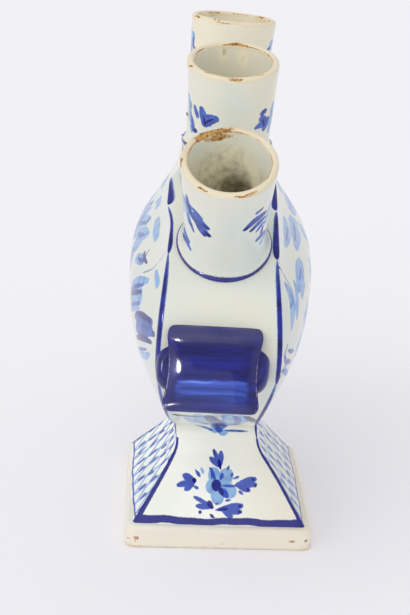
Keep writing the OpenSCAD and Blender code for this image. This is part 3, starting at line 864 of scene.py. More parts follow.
def collarTree():
    wire, given = treeWith("workedCollar", "Collar Radius", "Collar Edge")
    grid, turn, along = latheGrid(wire, given)
    a, b, c = spouts["collarShares"]
    edge, hollow, down, under = (along.between(*part) for part in ((0, a), (a, b), (b, c), (c, 1)))
    outside, root, lip = given["Collar Radius"], given["Root"], given["Collar Edge"]
    low, rootSeat = seat(given, turn, outside), seat(given, turn, root)
    bend = hollow * (math.pi / 2)
    reach, height = outside - root, given["Collar Height"] - lip
    radius = outside - reach * bend.sin() + reach * under
    rise = low + lip * edge + (height - low) * (1 - bend.cos())
    rise = rise + (rootSeat - given["Collar Height"]) * down + (low - rootSeat) * under
    return finishTree(wire, given, grid, radius, rise, turn)


def spoutSizes(k, around, rows):
    return {
        "Length": spouts["lengths"][abs(k)], "Mouth": spouts["mouth"], "Root": spouts["root"],
        "Bore": spouts["bore"], "Lip Wall": spouts["lipWall"], "Flare Hollow": spouts["hollow"],
        "Collar Radius": spouts["collarRadius"], "Collar Height": spouts["collarHeight"],
        "Collar Edge": spouts["collarEdge"], "Shoulder Radius": body["shoulderR"], "Fan Height": body["fanZ"],
        "Lean": fanTurn(k), "Around": around, "Rows": rows, "Finish": finishes["painted_glaze"]}


def grow(tree, values):  # run a tree with these inputs, and keep its mesh
    holder = bpy.data.objects.new("grown", bpy.data.meshes.new("grown"))
    bpy.context.scene.collection.objects.link(holder)
    modifier = holder.modifiers.new("shape", "NODES")
    modifier.node_group = tree
    for item in tree.interface.items_tree:
        if item.in_out == "INPUT":
            modifier[item.identifier] = values[item.name]
    return evaluated(holder)


def onSpout(points, k):  # turn from the side away from the middle, height above the shoulder, radius
    c, s = math.cos(fanTurn(k)), math.sin(fanTurn(k))
    x, z = points[:, 0], points[:, 2] - body["fanZ"]
    out, up = c * x - s * z, s * x + c * z - body["shoulderR"]
    turn = np.arctan2(points[:, 1], out)
    if k < 0:
        turn = np.where(turn > 0, math.pi - turn, -math.pi - turn)
    return turn, up, np.hypot(points[:, 1], out)


def turnGap(turn, middleTurn):
    return np.degrees(np.angle(np.exp(1j * (turn - math.radians(middleTurn)))))


# Chips on the lips: middle and half spread in degrees round the spout, depth in mm, then middle and half
# width of the place that they take over the lip, which runs from 0 outside to 180 inside
lipChips = {
    2: [(-155, 27, 0.9, 105, 90), (-88, 7, 0.5, 20, 40), (-31, 9, 0.3, 45, 16), (24, 17, 0.3, 38, 16),
        (60, 8, 0.2, 140, 14), (-120, 20, 0.2, 150, 14)],
    1: [(6, 11, 0.45, 62, 26), (172, 16, 0.3, 130, 30), (-70, 5, 0.2, 30, 20), (-34, 12, 0.1, 98, 10),
        (-8, 10, 0.1, 100, 9), (38, 9, 0.1, 98, 10)],
    0: [(-62, 7, 0.3, 40, 20), (-25, 3, 0.2, 60, 20), (20, 3, 0.2, 130, 20), (130, 7, 0.3, 120, 25)],
    -1: [(150, 12, 0.6, 90, 50), (40, 6, 0.3, 40, 20), (-95, 8, 0.4, 50, 30)],
    -2: [(-20, 10, 0.5, 60, 30), (95, 7, 0.4, 50, 30), (170, 12, 0.7, 90, 60), (-120, 5, 0.3, 40, 20)]}

boreFlakes = {2: [(-161, 21, 2.9)]}  # a chip that runs on into the bore: middle, spread, mm below the lip

# Stains and broad darker patches inside the bores: middle and half spread in degrees, middle and half spread
# below the lip, strength
boreStains = {
    2: [(142, 14, 25, 8, 1.1), (154, 22, 21, 9, 0.5), (176, 24, 13, 13, 0.42), (-150, 50, 18, 14, 0.3)],
    1: [(164, 7, 3.5, 2.6, 1.15), (-165, 6, 1.8, 3.2, 1.15)], 0: [(170, 40, 24, 8, 0.5)],
    -1: [(150, 40, 24, 8, 0.6)], -2: [(170, 40, 22, 8, 0.8)]}

# How much each bore darkens towards its bottom: one spout is paler inside than the rest, and worn all round
# the inside of its lip
boreDarkening = {-2: 0.45, -1: 0.45, 0: 0.45, 1: 0.2, 2: 0.45}
lipWorn = {-2: -0.3, -1: -0.3, 0: -0.3, 1: -1.0, 2: -0.3}

# Degrees that a spout leans sideways, and about which height
spoutLean = {-2: (-0.8, 20.0), -1: (1.2, 30.0), 0: (3.4, 40.0), 1: (0.0, 30.0), 2: (0.0, 30.0)}

# The line round a collar's edge: how full the brush was at each bearing
collarLine = dict(
    bearings=(0, 18, 40, 70, 110, 135, 180), loads=(1.25, 1.1, 0.7, 0.5, 0.45, 0.2, 0.0),
    half=0.55, waver=0.08, inset=0.2)

# Sprigs on the flanks of the spouts: a knot is round from the outward side, up from the shoulder, and width.
# Each flank has a flower in its middle, with leaves on both its sides.
sprigs = dict(
    flank=22.8, flowerZ=(39.0, 30.0, 24.5), flowerRadius=5.6, flowerTurn=18, fuller=(1.0, 1.15, 1.3),
    outerLeft=dict(
        pale=[
            (-17, 27, 2.4, -16, 23, 3, -14.2, 18.6, 2), (-21, 8, 1.2, -17, 8.4, 2)],
        mid=[
            (-15.4, 30.3, 1.4, -14.8, 26.9, 2.4, -13, 23.8, 2.2, -10.8, 22.3, 1.4),
            (-13.2, 27.8, 1, -10.8, 27, 1.8, -8.4, 25.8, 1),
            (-11.8, 25.1, 1.4, -9, 24, 2.6, -6.2, 22.3, 1.5),
            (-10.8, 22.3, 1.6, -8.4, 20.8, 2.8, -5.7, 18.8, 1.5),
            (-10.5, 21.7, 1.2, -9, 19.8, 2, -7.3, 17.9, 1.1),
            (-15.2, 21.7, 1, -13.6, 19, 1.7, -12, 16.3, 0.9),
            (-20.8, 9.6, 1, -18, 9.7, 2.2, -14.6, 8.6, 1.2), (-20.8, 6, 1, -16.4, 7.4, 2, -13.3, 6.1, 1)],
        dark=[
            (-7.8, 23.2, 0.5, -6.3, 22.4, 1.1), (-7.4, 20, 0.5, -5.8, 18.9, 1.2),
            (-8.4, 19, 0.4, -7.4, 18, 0.9), (-14.4, 27.4, 0.7, -13.2, 24.4, 0.9)]),
    outerRight=dict(
        pale=[
            (17.8, 27, 2, 17, 23, 2.6, 16.2, 19.4, 1.8), (19.4, 12.9, 1.2, 17, 11.8, 2, 14.8, 10, 1.2)],
        mid=[
            (14.2, 25.7, 1.6, 10, 26, 2.8, 6.2, 22.6, 1.3), (12.3, 29.6, 0.8, 10, 29.1, 1.2),
            (14.7, 23.1, 1.2, 11.6, 22.9, 2.2, 8.6, 20.8, 1.1),
            (14.7, 20.6, 1, 13, 20.3, 1.8, 11.3, 18.8, 0.9),
            (14.5, 18.8, 0.8, 14.2, 17, 1.4, 14, 15.1, 0.8),
            (17, 13.6, 1.2, 14.6, 14.3, 2.4, 12.1, 13.6, 1.3)],
        dark=[
            (7.7, 24, 0.5, 6.3, 22.7, 1), (10.2, 21.7, 0.5, 8.8, 20.9, 0.9)]),
    innerLeft=dict(
        pale=[
            (-19.2, 34, 2.4, -18.4, 28, 3.4, -17.4, 22, 2.4)],
        mid=[
            (-14.2, 32.4, 1.4, -13.4, 30.6, 2.3, -12.8, 29.4, 1.5),
            (-17.6, 28, 1.2, -16.2, 26, 2.6, -15.4, 24, 1.8), (-10.6, 33, 2, -10, 31, 3.2, -9.6, 28, 2.2),
            (-5.2, 31, 2.4, -7.6, 30.2, 3.8, -9.4, 27.6, 1.8), (-9.4, 28, 2.6, -8, 29, 3),
            (-17.2, 23.2, 1.2, -15.4, 23, 2.4, -13.6, 23.2, 1.4)],
        dark=[
            (-9.8, 30.6, 0.6, -9.2, 28, 0.9), (-6, 30.8, 0.5, -8.6, 28.8, 0.8),
            (-15.4, 22.8, 0.7, -13.8, 23.4, 1)]),
    innerRight=dict(
        pale=[
            (18.4, 33, 2, 17.8, 28, 3, 17, 23.5, 2)],
        mid=[
            (12.7, 32.8, 1.9, 11.5, 32.4, 1.9), (11.5, 30.3, 2.4, 13.2, 28.6, 3.4, 13.4, 26, 2.2),
            (15.2, 28.8, 1.8, 14.4, 27, 2.8, 13.4, 25.6, 1.6), (9.2, 27.4, 1.2, 11, 28, 2.3, 13, 27.6, 2)],
        dark=[
            (12, 29.6, 0.6, 13.2, 27, 0.9)]),
    middleLeft=dict(
        pale=[
            (-20.8, 42.6, 2, -20.8, 35.8, 2.5)],
        mid=[
            (-17.5, 39.9, 1.6, -17.5, 37.3, 1.9), (-16.6, 36.6, 1.2, -13.6, 34.6, 2.2, -11, 33.6, 1)]),
    middleRight=dict(
        pale=[
            (20.4, 42, 2, 20.8, 36, 2.5)],
        mid=[
            (17, 39.4, 1.4, 14.4, 37.6, 2.2, 12.2, 36.8, 1)]))


def leanSpout(points, k):
    angle, pivot = math.radians(spoutLean[k][0]), spoutLean[k][1]
    up = (points - [0, 0, body["fanZ"]]) @ axis(k) - body["shoulderR"]
    slide = (up - pivot) * (math.cos(angle) - 1) - points[:, 1] * math.sin(angle)
    moved = points + np.outer(slide, axis(k)) * ease(0, 12, up)[:, None]
    moved[:, 1] = points[:, 1] * math.cos(angle) + (np.maximum(up, 0) - pivot) * math.sin(angle)
    return moved


def spoutStrokes(k):
    n = abs(k)
    flank, fuller = sprigs["flank"], sprigs["fuller"][n]
    strokes = []
    for side, hand in ((-1, "Left"), (1, "Right")):
        marks = sprigs[("middle", "inner", "outer")[n] + hand]
        at = (side * flank, sprigs["flowerZ"][n])
        strokes += blossom(at, sprigs["flowerRadius"], turn=sprigs["flowerTurn"])
        strokes += drawn(marks, fuller=fuller)
        strokes += drawn(marks, -1, 2 * side * flank, fuller)  # and on the flower's other side
    return strokes


def throwSpout(k):
    mesh = grow(thrown, spoutSizes(k, spouts["around"], spouts["rows"]))
    points = pointsOf(mesh)
    turn, up, radius = onSpout(points, k)
    lipR = spouts["lipWall"] / 2
    lipZ = spouts["lengths"][abs(k)] - lipR
    flare = np.clip((up - spouts["collarHeight"]) / (lipZ - spouts["collarHeight"]), 0, 1)
    outer = radius > mix(spouts["root"] + spouts["bore"], 2 * (spouts["mouth"] - lipR), flare) / 2
    paint = blank(points)
    paint[outer] = paintField(np.stack([turn * spouts["girth"], up], 1)[outer], spoutStrokes(k))
    # thin glaze and small wear on the lip, by the bend over it, which is 0 outside and 180 inside
    bend = np.degrees(np.arctan2(up - lipZ, radius - spouts["mouth"] + lipR))
    slow = np.stack([np.cos(turn), np.sin(turn), np.full(len(turn), 0.3 * k)], 1)
    onLip = up > lipZ - 1.2
    rimStart, rimEnd = bend + 25 * ripple(slow, 1.1, 31), bend + 25 * ripple(slow, 0.9, 32)
    rim = ease(-35, 25, rimStart) * ease(205, 150, rimEnd) * onLip
    outerWear = hump(15, 12, bend) * ease(0.2, 0.8, ripple(slow, 0.8, 33 + k)) * 0.7
    innerWear = hump(150, 11, bend) * ease(lipWorn[k], 0.3, ripple(slow, 0.7, 43 + k)) * 0.9
    chip = np.maximum(outerWear, innerWear) * onLip
    # chips with ragged edges, which also take clay away
    ragged, uneven = 4 * ripple(slow, 0.3, 51), 12 * ripple(slow, 0.25, 52)
    for middleTurn, spread, depth, middleBend, wide in lipChips[k]:
        off = (np.abs(turnGap(turn, middleTurn)) + ragged) / spread
        bite = np.clip(1.5 - np.hypot(off, np.abs(bend - middleBend + uneven) / wide), 0, 1) * onLip
        chip = np.maximum(chip, bite)
        points -= np.outer(depth * ease(0.2, 1.0, bite), axis(k))
    for middleTurn, spread, reach in boreFlakes.get(k, ()):
        off = (np.abs(turnGap(turn, middleTurn)) + ragged) / spread
        flake = np.clip(1.5 - np.hypot(off, (lipZ - up) / reach), 0, 1)
        chip = np.maximum(chip, np.where(outer | (up > lipZ), 0, flake))
    stain = 0.1 + boreDarkening[k] * ease(lipZ, lipZ - 26, up)
    for middleTurn, spread, below, tall, strength in boreStains[k]:
        stain += 0.55 * strength * hump(0, spread, turnGap(turn, middleTurn)) * hump(below, tall, lipZ - up)
    stain = np.where(outer, 0, np.clip(stain, 0, 1))
    putPoints(mesh, leanSpout(points, k))
    node = names[k] + "_spout"
    dressPiece(camel(node), mesh, node, 60, paint=paint, wear=np.stack([rim, chip, stain], 1))


def workCollar(k):
    mesh = grow(worked, spoutSizes(k, spouts["collarAround"], spouts["collarRows"]))
    points = pointsOf(mesh)
    turn, up, radius = onSpout(points, k)
    load = np.interp(np.degrees(np.abs(turn)), collarLine["bearings"], collarLine["loads"])
    load += collarLine["waver"] * np.sin(5 * turn + k)
    gap = np.abs(radius - spouts["collarRadius"] + collarLine["inset"])
    depth = collarLine["half"] * load - gap - ease(0.3, 0.0, load)
    paint = paintField(np.stack([turn * spouts["girth"], up], 1), spoutStrokes(k))
    dark = brush["dark"]
    paint[:, dark] = np.maximum(paint[:, dark], inStroke(depth))
    angle, pivot = spoutLean[k]
    points[:, 1] -= pivot * math.sin(math.radians(angle))
    putPoints(mesh, points)
    node = names[k] + "_collar"
    dressPiece(camel(node), mesh, node, 60, paint=paint, wear=blank(points))


def camel(words):
    first, *rest = words.split("_")
    return first + "".join(w.capitalize() for w in rest)


thrown, worked = spoutTree(), collarTree()
shoulderSlab()
for k in names:
    throwSpout(k)
    workCollar(k)
print("shoulder set, spouts thrown:", len(names))


# Handles: a hollow-fronted strap with an out-turned lip, over a roll of clay. Neither sits quite square.

# The strap's last size says how far up from the lip's end the painted reflection begins
strap = dict(
    width=33.6, thick=4.6, waist=1.8, topZ=116.5, height=26.5, hollowR=37.0, reach=5.5, rootHeight=8.0,
    rootSoft=1.5, lipSwell=0.6, cornerR=3.5, backEdge=1.2, edgeWide=9.0, edgeDeep=2.4, topEdge=5.0, sink=0.4,
    across=84, along=96, crest=10.6)
roll = dict(diameter=18.0, length=38.4, z=100.5, bite=2.0, endR=5.5, around=112, along=60, shade=0.3)
handleSet = {1: dict(shift=-1.6, slope=0.03), -1: dict(shift=0.7, slope=-0.015)}
strapAt = np.array([body["width"] / 2 + strap["reach"] + strap["hollowR"], strap["topZ"]])
strapBackR = strap["hollowR"] + strap["thick"]


def setHandle(points, mirror):
    points[:, 1] += handleSet[mirror]["shift"] + handleSet[mirror]["slope"] * (points[:, 2] - strap["topZ"])
    points[:, 0] *= mirror


def handleStrap(name, node, mirror):
    thick = strap["thick"] / 2
    middleR, lipR = strap["hollowR"] + thick, thick + strap["lipSwell"]
    lipTurn = math.asin((strap["height"] - lipR) / middleR) + lipR / middleR
    q = 0.5 - 0.5 * np.cos(np.linspace(0, math.pi, strap["along"]))
    u = np.sin(np.linspace(-1, 1, strap["across"]) * math.pi / 2)
    q, u = np.meshgrid(q, u, indexing="ij")  # down the strap, and across it
    turn = q * lipTurn
    fromEnd, fromTop = (lipTurn - turn) * middleR, middleR * np.sin(turn)
    sheetZ = strapAt[1] - fromTop
    half = strap["width"] / 2 - strap["waist"] * (1 - (2 * q - 1) ** 2)
    half = half - quarter(strap["cornerR"], fromTop) - quarter(strap["cornerR"], fromEnd)
    side = half * (1 - np.abs(u))
    swell = mix(thick, lipR, ease(3.5 * lipR, lipR, fromEnd))
    cap = leg(1, np.maximum(0, 1 - fromEnd / lipR))
    turned = strap["edgeDeep"] * np.maximum(0, 1 - side / strap["edgeWide"]) ** 2

    def onSheet(out):
        return strapAt[0] - (middleR - out) * np.cos(turn), strapAt[1] - (middleR - out) * np.sin(turn)

    fx, fz = onSheet((swell - turned) * cap)
    bx, bz = onSheet(-np.maximum(swell * cap - quarter(strap["backEdge"], side), 0))
    fx = fx - quarter(strap["topEdge"], fromTop)
    rooted = ease(strap["rootHeight"] + strap["rootSoft"], strap["rootHeight"] - strap["rootSoft"], fromTop)
    bx, bz = mix(bx, halfLength(sheetZ) - strap["sink"], rooted), mix(bz, sheetZ, rooted)
    front, back = np.stack([fx, u * half, fz], 2), np.stack([bx, u * half, bz], 2)
    points, faces = stackRows(list(np.concatenate([front, back[:, ::-1]], 1)))

    def bothFaces(f, b):
        return np.append(np.concatenate([f, b[:, ::-1]], 1), (0, 0))

    isFront = bothFaces(np.ones_like(side), np.zeros_like(side))
    side, fromEnd, fromTop = (bothFaces(g, g) for g in (side, fromEnd, fromTop))
    # rubbed edges; a painted reflection of the bright floor below the crest, in lighter streaky blue with a
    # thin bright line on top; and the dull glaze at the root and the lip
    worn = hump(0.35, 0.35, side) * isFront * ease(4, 12, fromTop) * 0.75
    worn = np.maximum(worn, hump(0.5, 0.5, fromEnd) * 0.3)
    across = np.sign(points[:, 1]) * (half.max() - side)
    crest = fromEnd - strap["crest"] - 0.3 * np.sin(across * 0.22) - 0.12 * np.sin(across * 0.8 + 1)
    paintedSheen = ease(0.6, -0.6, crest) * ease(-3.0, 7.0, fromEnd) * ease(1.5, 4.5, side) * isFront
    paintedSheen += hump(0, 0.5, crest) * ease(2.0, 4.0, side) * (0.55 + 0.45 * np.sin(across * 0.25 + 3)) * isFront
    shade = np.maximum(ease(6, 1, fromTop), 0.8 * ease(4, 1, fromEnd)) * isFront
    shade = np.maximum(shade, ease(4.0, 1.0, side) * 0.5)
    setHandle(points, mirror)
    makePiece(name, points, faces, node, 55, "cobalt_glaze", wear=np.stack([worn, paintedSheen, shade], 1))


def handleRoll(name, node, mirror):
    radius, half, end = roll["diameter"] / 2, roll["length"] / 2, roll["endR"]
    axisX = strapAt[0] - leg(strapBackR + radius - roll["bite"], strap["topZ"] - roll["z"])
    tip = arc((half - end, radius - end), end, 0, math.pi / 2, 14)[1:]
    tip = np.concatenate([[[half, (radius - end) * 0.5], [half, radius - end]], tip])
    barrel = np.linspace(half - end, end - half, roll["along"])[1:-1, None]
    profile = np.concatenate([tip, np.concatenate([barrel, 0 * barrel + radius], 1), (tip * [-1, 1])[::-1]])
    turn = np.arange(roll["around"]) * 2 * math.pi / roll["around"]
    circle = np.stack([np.cos(turn), np.sin(turn)], 1)
    rows = [withDepth((axisX, roll["z"]) + r * circle, y) for y, r in profile]
    points, faces = stackRows(rows, [[axisX, y, roll["z"]] for y in (half, -half)])
    # fitted between the back of the strap and the body
    away = points[:, [0, 2]] - strapAt
    gap = np.linalg.norm(away, axis=1)
    push = np.maximum(gap, strapBackR - strap["sink"]) / gap
    points[:, [0, 2]] = strapAt + away * push[:, None]
    points[:, 2] = np.minimum(points[:, 2], strap["topZ"] - strap["rootHeight"] + strap["rootSoft"])
    points[:, 0] = np.maximum(points[:, 0], halfLength(points[:, 2]) - strap["sink"])
    wear = blank(points)
    wear[:, 2] = roll["shade"]
    setHandle(points, mirror)
    makePiece(name, points, faces, node, 55, "cobalt_glaze", wear=wear)


for side, mirror in (("right", 1), ("left", -1)):
    handleStrap(side + "HandleStrap", side + "_handle_strap", mirror)
    handleRoll(side + "HandleRoll", side + "_handle_roll", mirror)
print("handles luted on")


# Foot: a hollow, four-sided flare on a low frame

foot = dict(
    length=74.0, width=70.4, hollowR=12.0, wall=5.2, plinthHeight=9.3, cornerR=1.3, endColumns=150,
    sideColumns=124, cornerColumns=5, rows=92, insideRows=20, insideStain=0.8,
    bellyLeft=0.048, bellyRight=0.022, bellyX=(34, 4), bellyZ=(30, 10), latticePitch=8.0)
plinth = dict(
    ledge=3.2, frame=10.0, cornerR=4.0, edge=2.0, endColumns=110, sideColumns=110, cornerColumns=14,
    spots=((-33.6, 4.4, 2.4), (29.7, 4.6, 2.4), (1.6, 2.8, 1.4), (35.6, 5.0, 1.6), (-37.0, 3.6, 1.4)),
    spotTall=1.1, spotWorn=0.66, insideStain=0.8, wave=0.25)

# A flower with leaves round it on each end of the foot: place across and up, turn, length and width of a mark
footFlower = dict(
    longer=dict(pale=0.92, mid=1.05, dark=1.05), wider=1.18,
    dabs=dict(
        pale=[
            (-1.2, 23.0, 105, 4.6, 4.8), (0.2, 23.4, 42, 5.4, 5.0), (0.4, 21.8, -12, 5.6, 4.8),
            (-1.0, 21.6, -85, 3.9, 5.0), (-1.9, 22.4, 190, 2.0, 4.6)],
        mid=[
            (-0.4, 22.0, -38, 4.2, 2.4), (-1.6, 24.2, 118, 3.0, 1.6), (0.2, 24.4, 62, 2.2, 1.5),
            (0.5, 28.6, 110, 6.0, 1.8), (0.5, 28.6, 140, 4.6, 2.0), (0.5, 28.6, 82, 5.0, 2.2),
            (-9.8, 24.0, 192, 7.0, 2.0), (-9.8, 24.0, 160, 4.6, 2.6), (-9.8, 24.0, 215, 4.6, 2.4),
            (6.2, 23.0, 14, 8.2, 2.4), (6.2, 23.0, 2, 8.2, 2.0), (6.2, 23.0, -16, 5.8, 2.0),
            (-2.8, 15.6, 158, 7.6, 1.5), (-2.4, 15.2, 176, 6.4, 1.9), (-1.6, 14.4, 9, 10.2, 2.6),
            (1.5, 14.6, -4, 6.8, 2.2), (1.0, 14.3, -24, 4.2, 2.0)],
        dark=[
            (-0.6, 22.2, -50, 2.8, 1.8), (0.6, 27.9, 100, 3.0, 1.5), (-1.2, 32.8, 115, 1.8, 0.8),
            (-2.6, 14.9, 130, 2.6, 2.0), (-1.0, 14.6, 5, 4.0, 1.1)]),
    ticks=dict(
        pale=[
            (-6.4, 26.6, 120, 2.2, 1.4)],
        mid=[
            (-3.4, 24.5, 80, 4.0, 0.8), (1.0, 22.7, -2, 6.0, 1.1), (-7.9, 25.5, 130, 2.8, 1.6),
            (-8.6, 21.5, 160, 2.0, 1.4), (-4.0, 28.6, -40, 2.3, 1.2), (5.6, 27.0, -123, 1.7, 1.1),
            (8.1, 25.9, 201, 2.5, 1.1), (7.8, 21.0, -29, 2.1, 1.3), (2.3, 17.6, 10, 2.4, 1.0)],
        dark=[
            (4.2, 29.4, -120, 1.7, 0.9), (-3.9, 12.9, -29, 2.3, 1.3), (-1.6, 16.4, 20, 1.4, 0.7)]),
    dots=dict(
        pale=[(0.0, 22.6, 3.6)],
        dark=[
            (-1.3, 22.7, 2.0), (-10.3, 24.2, 0.9), (13.8, 25.0, 0.6), (14.6, 22.9, 0.6), (11.6, 21.5, 0.6),
            (-7.9, 13.6, 0.7), (8.4, 16.0, 0.6), (8.2, 14.0, 0.6)]))


def flareHalf(z, waistHalf, footHalf):  # half width of the flare: hollow below the waist, then straight
    cx, cz = waistHalf + foot["hollowR"], body["waistZ"]
    vx, vz = footHalf - cx, foot["plinthHeight"] - cz
    turn = math.atan2(vz, vx) - math.acos(foot["hollowR"] / math.hypot(vx, vz))
    tx, tz = cx + foot["hollowR"] * math.cos(turn), cz + foot["hollowR"] * math.sin(turn)
    straight = mix(footHalf, tx, (z - foot["plinthHeight"]) / (tz - foot["plinthHeight"]))
    return np.where(z > tz, cx - leg(foot["hollowR"], z - cz), straight)


def footHalves(z, wall=0.0):
    return (flareHalf(z, body["waistLength"] / 2 - wall, foot["length"] / 2 - wall),
            flareHalf(z, body["stripWaist"] / 2 - wall, foot["width"] / 2 - wall))


def levelRow(hx, hy, z, shape):  # a level loop with straight sides and round corners
    r = shape["cornerR"]
    e, s = (np.linspace(-1, 1, shape[count])[:, None] for count in ("endColumns", "sideColumns"))
    loop = []
    for i, (sx, sy) in enumerate(((1, 1), (-1, 1), (-1, -1), (1, -1))):
        if i % 2 == 0:
            loop.append(np.concatenate([0 * e + sx * hx, sx * e * (hy - r)], 1))
        else:
            loop.append(np.concatenate([-sy * s * (hx - r), 0 * s + sy * hy], 1))
        corner = (sx * (hx - r), sy * (hy - r))
        bend = arc(corner, r, i * math.pi / 2, (i + 1) * math.pi / 2, shape["cornerColumns"] + 2)
        loop.append(bend[1:-1])
    loop = np.concatenate(loop)
    return np.concatenate([loop, np.full((len(loop), 1), z)], 1)


def flowerStrokes():
    strokes = []
    for tone, y, z, turn, long, wide in marksOf(footFlower["dabs"]):
        strokes.append(dab(tone, (y, z), turn, long * footFlower["longer"][tone], wide * footFlower["wider"]))
    strokes += [tick(tone, (y, z), *shape) for tone, y, z, *shape in marksOf(footFlower["ticks"])]
    return strokes + [dot(tone, (y, z), radius) for tone, y, z, radius in marksOf(footFlower["dots"])]


def footBands(isEnd):  # lines down the corners and along the bottom
    which = 1 if isEnd else 0
    z = np.linspace(foot["plinthHeight"] + 0.6, body["waistZ"], 16)
    half = footHalves(z)[which] - 0.5
    strokes = []
    for side, widths in ((1, (2.2, 1.5, 1.1, 0.9)), (-1, (3.2, 2.3, 1.5, 1.0))):
        strokes.append(("dark", np.stack([side * half, z], 1), np.interp(z, (9, 14, 26, 38), widths) / 2))
    y = np.linspace(-1, 1, 25)
    low = foot["plinthHeight"] + 1.3 + 0.3 * np.sin(y * 7) + 0.15 * np.sin(y * 19 + 1)
    load = np.interp(np.abs(y), (0, 0.7, 1), (1.15, 1.3, 1.6) if isEnd else (0.5, 0.5, 0.5))
    reach = footHalves(foot["plinthHeight"])[which] - 0.3
    return strokes + [("dark" if isEnd else "mid", np.stack([y * reach, low], 1), load)]


def footLattice():  # crossing strokes on the long sides, with a dab in each gap
    draw = np.random.default_rng(7)
    strokes = []
    pitch = foot["latticePitch"]
    for i in range(-9, 10):
        for way in (62, 118):
            start = np.array([i * pitch + draw.normal(0, 0.4), 11.0])
            strokes.append(line("pale", sweep(start, way, 36, draw.normal(0, 2), 10), 1.5))
    for i in range(-6, 7):
        for j in range(5):
            spot = np.array([(i + (j % 2) / 2) * pitch, 13.6 + j * 5.8]) + draw.normal(0, 0.45, 2)
            strokes.append(tick("mid", spot, 60 + draw.normal(0, 14), 4.4, 2.4))
            strokes.append(tick("mid", spot + [1.4, 0.2], 120 + draw.normal(0, 14), 3.4, 1.5))
    return strokes


def makeFoot():
    low, high = foot["plinthHeight"], body["waistZ"]
    rows = [levelRow(*footHalves(z), z, foot) for z in np.linspace(high, low, foot["rows"])]
    for z in np.linspace(low, high, foot["insideRows"]):
        rows.append(levelRow(*footHalves(z, foot["wall"]), z, foot))
    points, faces = stackRows(rows, ring=True)
    x, y, z = points.T
    outer = np.arange(len(points)) < len(rows[0]) * foot["rows"]
    hx, hy = footHalves(z)
    onEnd = hx - np.abs(x) <= hy - np.abs(y)
    ends, sides = outer & onEnd, outer & ~onEnd
    paint, wear = blank(points), blank(points)
    paint[ends] = paintField(points[ends][:, [1, 2]], flowerStrokes() + footBands(True))
    paint[sides] = paintField(points[sides][:, [0, 2]], footLattice() + footBands(False))
    wear[~outer, 2] = foot["insideStain"]
    belly = ease(*foot["bellyX"], x) * ease(*foot["bellyZ"], z)  # the long sides swell behind the near end
    points[:, 1] *= 1 + belly * np.where(y < 0, foot["bellyLeft"], foot["bellyRight"])
    makePiece("foot", points, faces, "foot", 50, paint=paint, wear=wear)


def makePlinth():
    hx, hy = foot["length"] / 2 + plinth["ledge"], foot["width"] / 2 + plinth["ledge"]
    height, edge, inner = foot["plinthHeight"], plinth["edge"], -plinth["frame"]
    # a section through the frame: how far out from its side, and height
    section = [(inner, 0.0), (-1.0, 0.0), (-0.3, 0.3), (0.0, 1.0)]
    section += [(0.0, z) for z in np.linspace(1.0, height - edge, 12)[1:-1]]
    section += [(x - edge, z) for x, z in arc((0, height - edge), edge, 0, math.pi / 2, 8)]
    section += [(-edge - 1.5, height), (inner, height), (inner, height * 0.66), (inner, height * 0.33)]
    points, faces = stackRows([levelRow(hx + out, hy + out, z, plinth) for out, z in section], ring=True)
    out = np.maximum(np.abs(points[:, 0]) - hx, np.abs(points[:, 1]) - hy)
    wave = plinth["wave"] * ripple(points, 26, 9) * ease(0, 3, points[:, 2])
    points[:, :2] *= 1 + wave[:, None] / hx
    x, y, z = points.T
    # chips at the corners, the bottom edge and the top edge, and a few larger ones on the ends
    corner = ease(0.72, 1.0, np.abs(x * y) / (hx * hy))
    low, top = ease(3.0, 0.0, z), hump(height - 1.4, 1.2, z)
    flecks = ease(0.35, 1.1, ripple(points, 9, 12))
    chip = np.maximum(corner * flecks * 0.8, flecks * (0.5 * low + 0.45 * top)) * (out > -3)
    for across, up, wide in plinth["spots"]:
        spot = hump(across, wide, np.sign(x) * y) * hump(up, plinth["spotTall"], z) * (np.abs(x) > hx - 1.5)
        chip = np.maximum(chip, plinth["spotWorn"] * spot)
    wear = np.stack([0.45 * low + 0.35 * corner, chip, np.where(out < -5, plinth["insideStain"], 0)], 1)
    makePiece("plinth", points, faces, "plinth", 50, paint=blank(points), wear=wear)


makeFoot()
makePlinth()
print("foot and plinth set")


# Camera at the photograph's place, in its 410 by 615 frame

view = dict(
    eye=(473.13, -17.55, 261.64), yaw=-1.346, pitch=19.907, roll=2.861, focal=1214.8, frameHeight=615,
    sensor=36.0)


def setCamera():
    yaw, pitch, tilt = (math.radians(view[k]) for k in ("yaw", "pitch", "roll"))
    ahead = Vector((-math.cos(pitch) * math.cos(yaw), -math.cos(pitch) * math.sin(yaw), -math.sin(pitch)))
    right = ahead.cross(Vector((0, 0, 1))).normalized()
    up = right.cross(ahead)
    c, s = math.cos(tilt), math.sin(tilt)
    right, up = right * c + up * s, up * c - right * s
    data = bpy.data.cameras.new("camera")
    data.sensor_width = view["sensor"]
    data.lens = view["focal"] / view["frameHeight"] * view["sensor"]
    data.clip_start = 0.01
    data.clip_end = 100
    camera = bpy.data.objects.new("camera", data)
    turned = Matrix((right, up, -ahead)).transposed().to_4x4()
    camera.matrix_world = Matrix.Translation(Vector(view["eye"]) * mm) @ turned
    bpy.context.scene.collection.objects.link(camera)
    bpy.context.scene.camera = camera


# Studio: a pale floor and surround, one broad sun, and a small lamp that is only seen in reflections

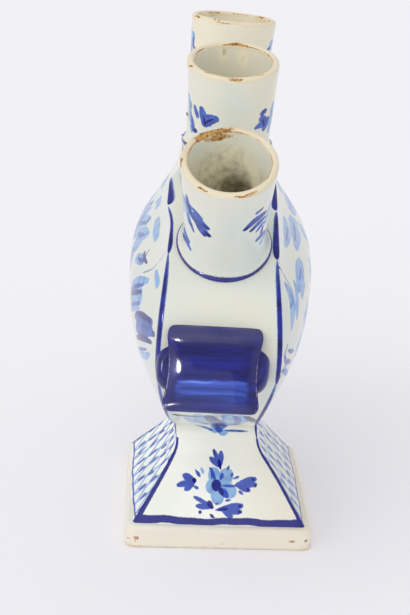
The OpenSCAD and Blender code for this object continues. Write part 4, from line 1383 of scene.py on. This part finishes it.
studio = dict(
    floor=linear(252, 251, 254), floorSize=16.0, floorRoughness=0.9, surround=0.75, seen=0.89,
    surroundColor=(0.98, 0.975, 1.0, 1), sun=(0.8, -0.5, 0.8), sunPower=0.95, sunAngle=70.0,
    glint=(0.235, -0.112, 0.140), glintPower=0.014, glintSize=(0.03, 0.1), glintTarget=(0.1, -0.006, 0.106),
    glintSpread=13.0)


def lamp(name, kind, place, target=(0, 0, 0.1)):
    made = bpy.data.objects.new(name, bpy.data.lights.new(name, kind))
    made.location = place
    made.rotation_euler = (Vector(target) - Vector(place)).to_track_quat("-Z", "Y").to_euler()
    bpy.context.scene.collection.objects.link(made)
    return made


def layFloor():
    size = studio["floorSize"] / 2
    mesh = bpy.data.meshes.new("floor")
    corners = [(-size, -size, 0), (size, -size, 0), (size, size, 0), (-size, size, 0)]
    mesh.from_pydata(corners, [], [(0, 1, 2, 3)])
    material, _, shader = newMaterial("floorPaper")
    shader.inputs["Base Color"].default_value = studio["floor"]
    shader.inputs["Roughness"].default_value = studio["floorRoughness"]
    shader.inputs["Specular IOR Level"].default_value = 0.0
    mesh.materials.append(material)
    floor = bpy.data.objects.new("floor", mesh)
    bpy.context.scene.collection.objects.link(floor)


def setStudio():
    layFloor()
    world = bpy.data.worlds.new("surround")
    bpy.context.scene.world = world
    world.use_nodes = True
    back = world.node_tree.nodes["Background"]
    back.inputs["Color"].default_value = studio["surroundColor"]
    air = Wire(world.node_tree)
    seen = air.node("ShaderNodeLightPath", out="Is Camera Ray")
    for ray in ("Is Glossy Ray", "Is Transmission Ray"):
        seen = seen + air.node("ShaderNodeLightPath", out=ray)
    air.feed(studio["surround"] + seen * (studio["seen"] - studio["surround"]), back.inputs["Strength"])
    sun = lamp("sun", "SUN", studio["sun"])
    sun.data.energy = studio["sunPower"]
    sun.data.angle = math.radians(studio["sunAngle"])
    glint = lamp("glint", "AREA", studio["glint"], studio["glintTarget"])
    glint.data.energy = studio["glintPower"]
    glint.data.shape = "ELLIPSE"
    glint.data.size, glint.data.size_y = studio["glintSize"]
    glint.data.spread = math.radians(studio["glintSpread"])
    glint.visible_diffuse = False
    glint.visible_camera = False
    bpy.context.scene.view_settings.view_transform = "Standard"


setCamera()
setStudio()
print("camera and studio set")
